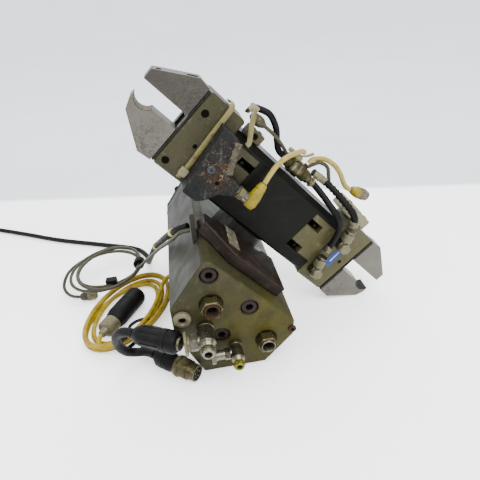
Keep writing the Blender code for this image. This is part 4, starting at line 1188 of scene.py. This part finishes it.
def zip_ties():
    """Two cream ties round the first gripper, with their heads on its front."""
    ties = (
        (((-45.6, 86.5, 84), (-45.6, 88, 72), (-45.6, 86.5, 65.2), (-45, 81.5, 63.4),
          (-43.45, 57.25, 63.2), (-41.3, 30, 63.4), (-41.3, 20, 64.2), (-41.3, 15.8, 69),
          (-41.3, 15.8, 84)), (-44.7, 20.4, 60.2), (-37.9, 27.4, 65.0)),
        (((-29, 90, 84), (-31, 95, 76), (-31, 97, 68), (-29, 92, 63.5), (-25, 85, 61.5),
          (-18.5, 75.5, 60), (-18.5, 72.5, 60)), (-34.2, 93, 66), (-27.8, 99.2, 72.5)),
    )
    for number, (route, low, high) in enumerate(ties, start=1):
        strap = Piece(f"gripper_tie_{number}")
        strap.sweep(slope_route(route, 2.0), 2.3, "tie", 8, flat=0.42, up=BACK)
        strap.block(low, high, "cream", 0.7)
        strap.done("swivel", "cream_plastic")


# --- Grippers ---------------------------------------------------------------------------------------

GRIPPER_END = 102.7
# Each gripper's holes, as (distance from the pivot, w, radius).
FRONT_HOLES = {1: ((96.2, 69, 3.4), (96.2, 22, 3.4), (85.7, 45, 2.2)), 2: ((94.3, 49, 1.8),)}
NOTCH_RADIUS = 9.3
NOTCH_RISE = 3.8


def gripper_pieces(number, side):
    """One gripper's screws, holes painted as shade, guide plates, pins in pockets with painted shade, notch
    liner and slots painted as shade; side is -1 up the slope.
    """
    def spot(distance, w, n):
        return on_slope(PIVOT_U + side * distance, w, n)

    def across(near, far):
        return sorted((PIVOT_U + side * near, PIVOT_U + side * far))

    holes = Piece(f"gripper_{number}_front_holes")
    for distance, w, radius in FRONT_HOLES[number]:
        # Each hole is a near-black disc of painted shade on the face, with a raised rim round it.
        holes.turned(spot(distance, w, 65), OUT, [(0.02, radius), (0.12, radius - 0.1)], "hole")
        holes.hoop(spot(distance, w, 65), OUT, radius, 0.3, "dark_olive")
    holes.done("swivel", "olive_anodised")
    plates = Piece(f"gripper_{number}_guide_plates")
    near, far = across(GRIPPER_END + 0.3, GRIPPER_END + 1.9)
    for low, high in ((65.5, 73.4), (88.6, 96.6)):
        plates.block((near, 15.4, low), (far, 83.6, high), "dark_steel", 0.3)
    plates.done("swivel", "dark_steel")
    pins = Piece(f"end_block_{number}_pins")
    near, far = across(37.1, 51.8)
    pin = [(0, 1.5), (3.2, 1.5), (3.6, 1.2), (3.6, 0.7, "hex"), (2.6, 0.7, "hex")]
    for level in (33.5, 59.5):
        for depth, low, high, out in ((72.6, 72.1, 72.6, OUT), (97.4, 97.4, 97.9, BACK)):
            # Painted shade: a near-black sheet at the floor of each pin pocket, front and back.
            pins.block((near, level - 3.4, low), (far, level + 3.4, high), "hole", 0.1)
            pins.turned(spot(46.8, level - 0.8, depth), out, pin, "dark_steel")
    pins.done("swivel", "nickel")
    back = Piece(f"gripper_{number}_back_screws")
    for distance in (75, 96):
        for w in (22, 77):
            back.cap(spot(distance, w, 97), BACK, "dark_screw", 0.02, 3.4, 2.0, 3.0, 1.6, 1.0)
    back.done("swivel", "dark_steel")
    notch = Piece(f"gripper_{number}_notch_liner")
    outer, inner = [], []
    half = math.acos(NOTCH_RISE / NOTCH_RADIUS)
    for angle in turning(half, -half, 12):
        for reach, points in ((NOTCH_RADIUS - 0.05, outer), (NOTCH_RADIUS - 0.5, inner)):
            distance = GRIPPER_END + 32.5 + reach * math.sin(angle)
            points.append(spot(distance, 45.5 + NOTCH_RISE - reach * math.cos(angle), 65.4))
    notch.slab(outer + inner[::-1], BACK * 15.2, "notch" if number == 1 else "dark_steel")
    notch.done(f"gripper_{number}_lower", "bare_aluminium")
    slots = Piece(f"gripper_{number}_finger_slots")
    edge_start, edge_end = spot(GRIPPER_END + 12.3, 85.5, 0), spot(GRIPPER_END + 41.7, 67.5, 0)
    along = (edge_end - edge_start).normalized()
    normal = along.cross(BACK) * side
    for share, length in ((0.16, 8.5), (0.86, 4.0)):
        middle = edge_start.lerp(edge_end, share) + BACK * 70
        outline = [middle + along * x + BACK * y for x, y in oval(16, length / 2 - 2, 2, 3.0)]
        # Each slot is a near-black oval of painted shade on the finger's side.
        slots.slab(outline, normal * 0.12, "hole")
    slots.done(f"gripper_{number}_upper", "bare_aluminium")


def blue_label():
    """A plain rounded label with one pale bar, where the real one carries a mark."""
    label = Piece("oval_label")
    middle = Vector((124, 49.5))
    ahead = Vector((-1.0, 20.0)).normalized()
    side = Vector((ahead.y, -ahead.x))
    for half_length, radius, depth, look in ((8.0, 3.9, 0.3, "blue"), (5.6, 0.7, 0.42, "white_mark")):
        spots = [middle + ahead * x + side * y for x, y in oval(28, half_length, radius, radius)]
        label.slab([on_slope(spot.x, spot.y, 64.98) for spot in spots], OUT * depth, look)
    label.done("swivel", "olive_anodised")


NODE_LOOKS = {
    "housing": "housing",
    "rear_cover": "dark_cover",
    "cover_plate": "brown",
    "cable_clamp": "clamp",
    "carrier": "black",
    "sensor_bracket": "bracket",
    "gripper_1_upper_finger": "dull_aluminium",
}


def look_of(name):
    """The look of a CAD node that still shows."""
    if name in NODE_LOOKS:
        return NODE_LOOKS[name]
    if any(word in name for word in ("jaw", "piston", "shaft")):
        return "dark_steel"
    if "finger" in name:
        return "aluminium" if "1" in name else "aluminium_2"
    return "dark_olive" if "1" in name else "olive"


def paint_nodes():
    """Gives each CAD node that still shows its material."""
    for name, node in frame["nodes"].items():
        if node.hide_render:
            continue
        node.data.materials.clear()
        node.data.materials.append(LOOKS[look_of(name)])


port_face_pieces()
elbow_pieces()
side_pieces()
cord_dressings()
hose_pieces()
plug_pieces()
distributor_pieces()
banjo_pieces()
bracket_pieces()
zip_ties()
gripper_pieces(1, -1)
gripper_pieces(2, 1)
blue_label()
paint_nodes()


# --- Stage ------------------------------------------------------------------------------------------

def make_stage():
    """A pale table that sweeps up into a backdrop, a darkening sky and three softboxes, in metres."""
    profile = [(-5.0, 0.0), (2.0, 0.0)]
    sweep = 1.5
    for angle in turning(0, math.pi / 2, 12)[1:]:
        profile.append((2.0 + sweep * math.sin(angle), sweep - sweep * math.cos(angle)))
    profile.append((2.0 + sweep, 5.0))
    half = 6.0
    corners = [(x, y, z) for y, z in profile for x in (-half, half)]
    faces = [(at, at + 1, at + 3, at + 2) for at in range(0, len(corners) - 2, 2)]
    mesh = bpy.data.meshes.new("floor")
    mesh.from_pydata(corners, [], faces)
    mesh.materials.append(floor_look())
    floor = bpy.data.objects.new("floor", mesh)
    floor.location.z = -0.0004
    bpy.context.scene.collection.objects.link(floor)
    world = bpy.data.worlds.new("studio")
    world.use_nodes = True
    nodes = world.node_tree.nodes
    links = world.node_tree.links
    sky = nodes["Background"]
    sky.inputs["Color"].default_value = (0.93, 0.96, 1.0, 1.0)
    split = nodes.new("ShaderNodeSeparateXYZ")
    links.new(nodes.new("ShaderNodeTexCoord").outputs["Generated"], split.inputs[0])
    fade = nodes.new("ShaderNodeMapRange")
    for key, value in {"From Min": 0.0, "From Max": 0.8, "To Min": 0.35, "To Max": 1.5}.items():
        fade.inputs[key].default_value = value
    links.new(split.outputs["Z"], fade.inputs["Value"])
    links.new(fade.outputs["Result"], sky.inputs["Strength"])
    bpy.context.scene.world = world
    lamps = (
        ((0.35, -0.75, 1.15), 1.2, 38.0), ((-0.95, -0.3, 0.9), 0.9, 12.0), ((0.15, 0.7, 1.1), 1.2, 18.0),
    )
    for number, (place, size, power) in enumerate(lamps, start=1):
        light = bpy.data.lights.new(f"softbox_{number}", "AREA")
        light.shape = "SQUARE"
        light.size = size
        light.energy = power
        lamp = bpy.data.objects.new(f"softbox_{number}", light)
        lamp.location = place
        lamp.rotation_mode = "QUATERNION"
        lamp.rotation_quaternion = (Vector((0, 0, 0.08)) - Vector(place)).to_track_quat("-Z", "Y")
        bpy.context.scene.collection.objects.link(lamp)


make_stage()
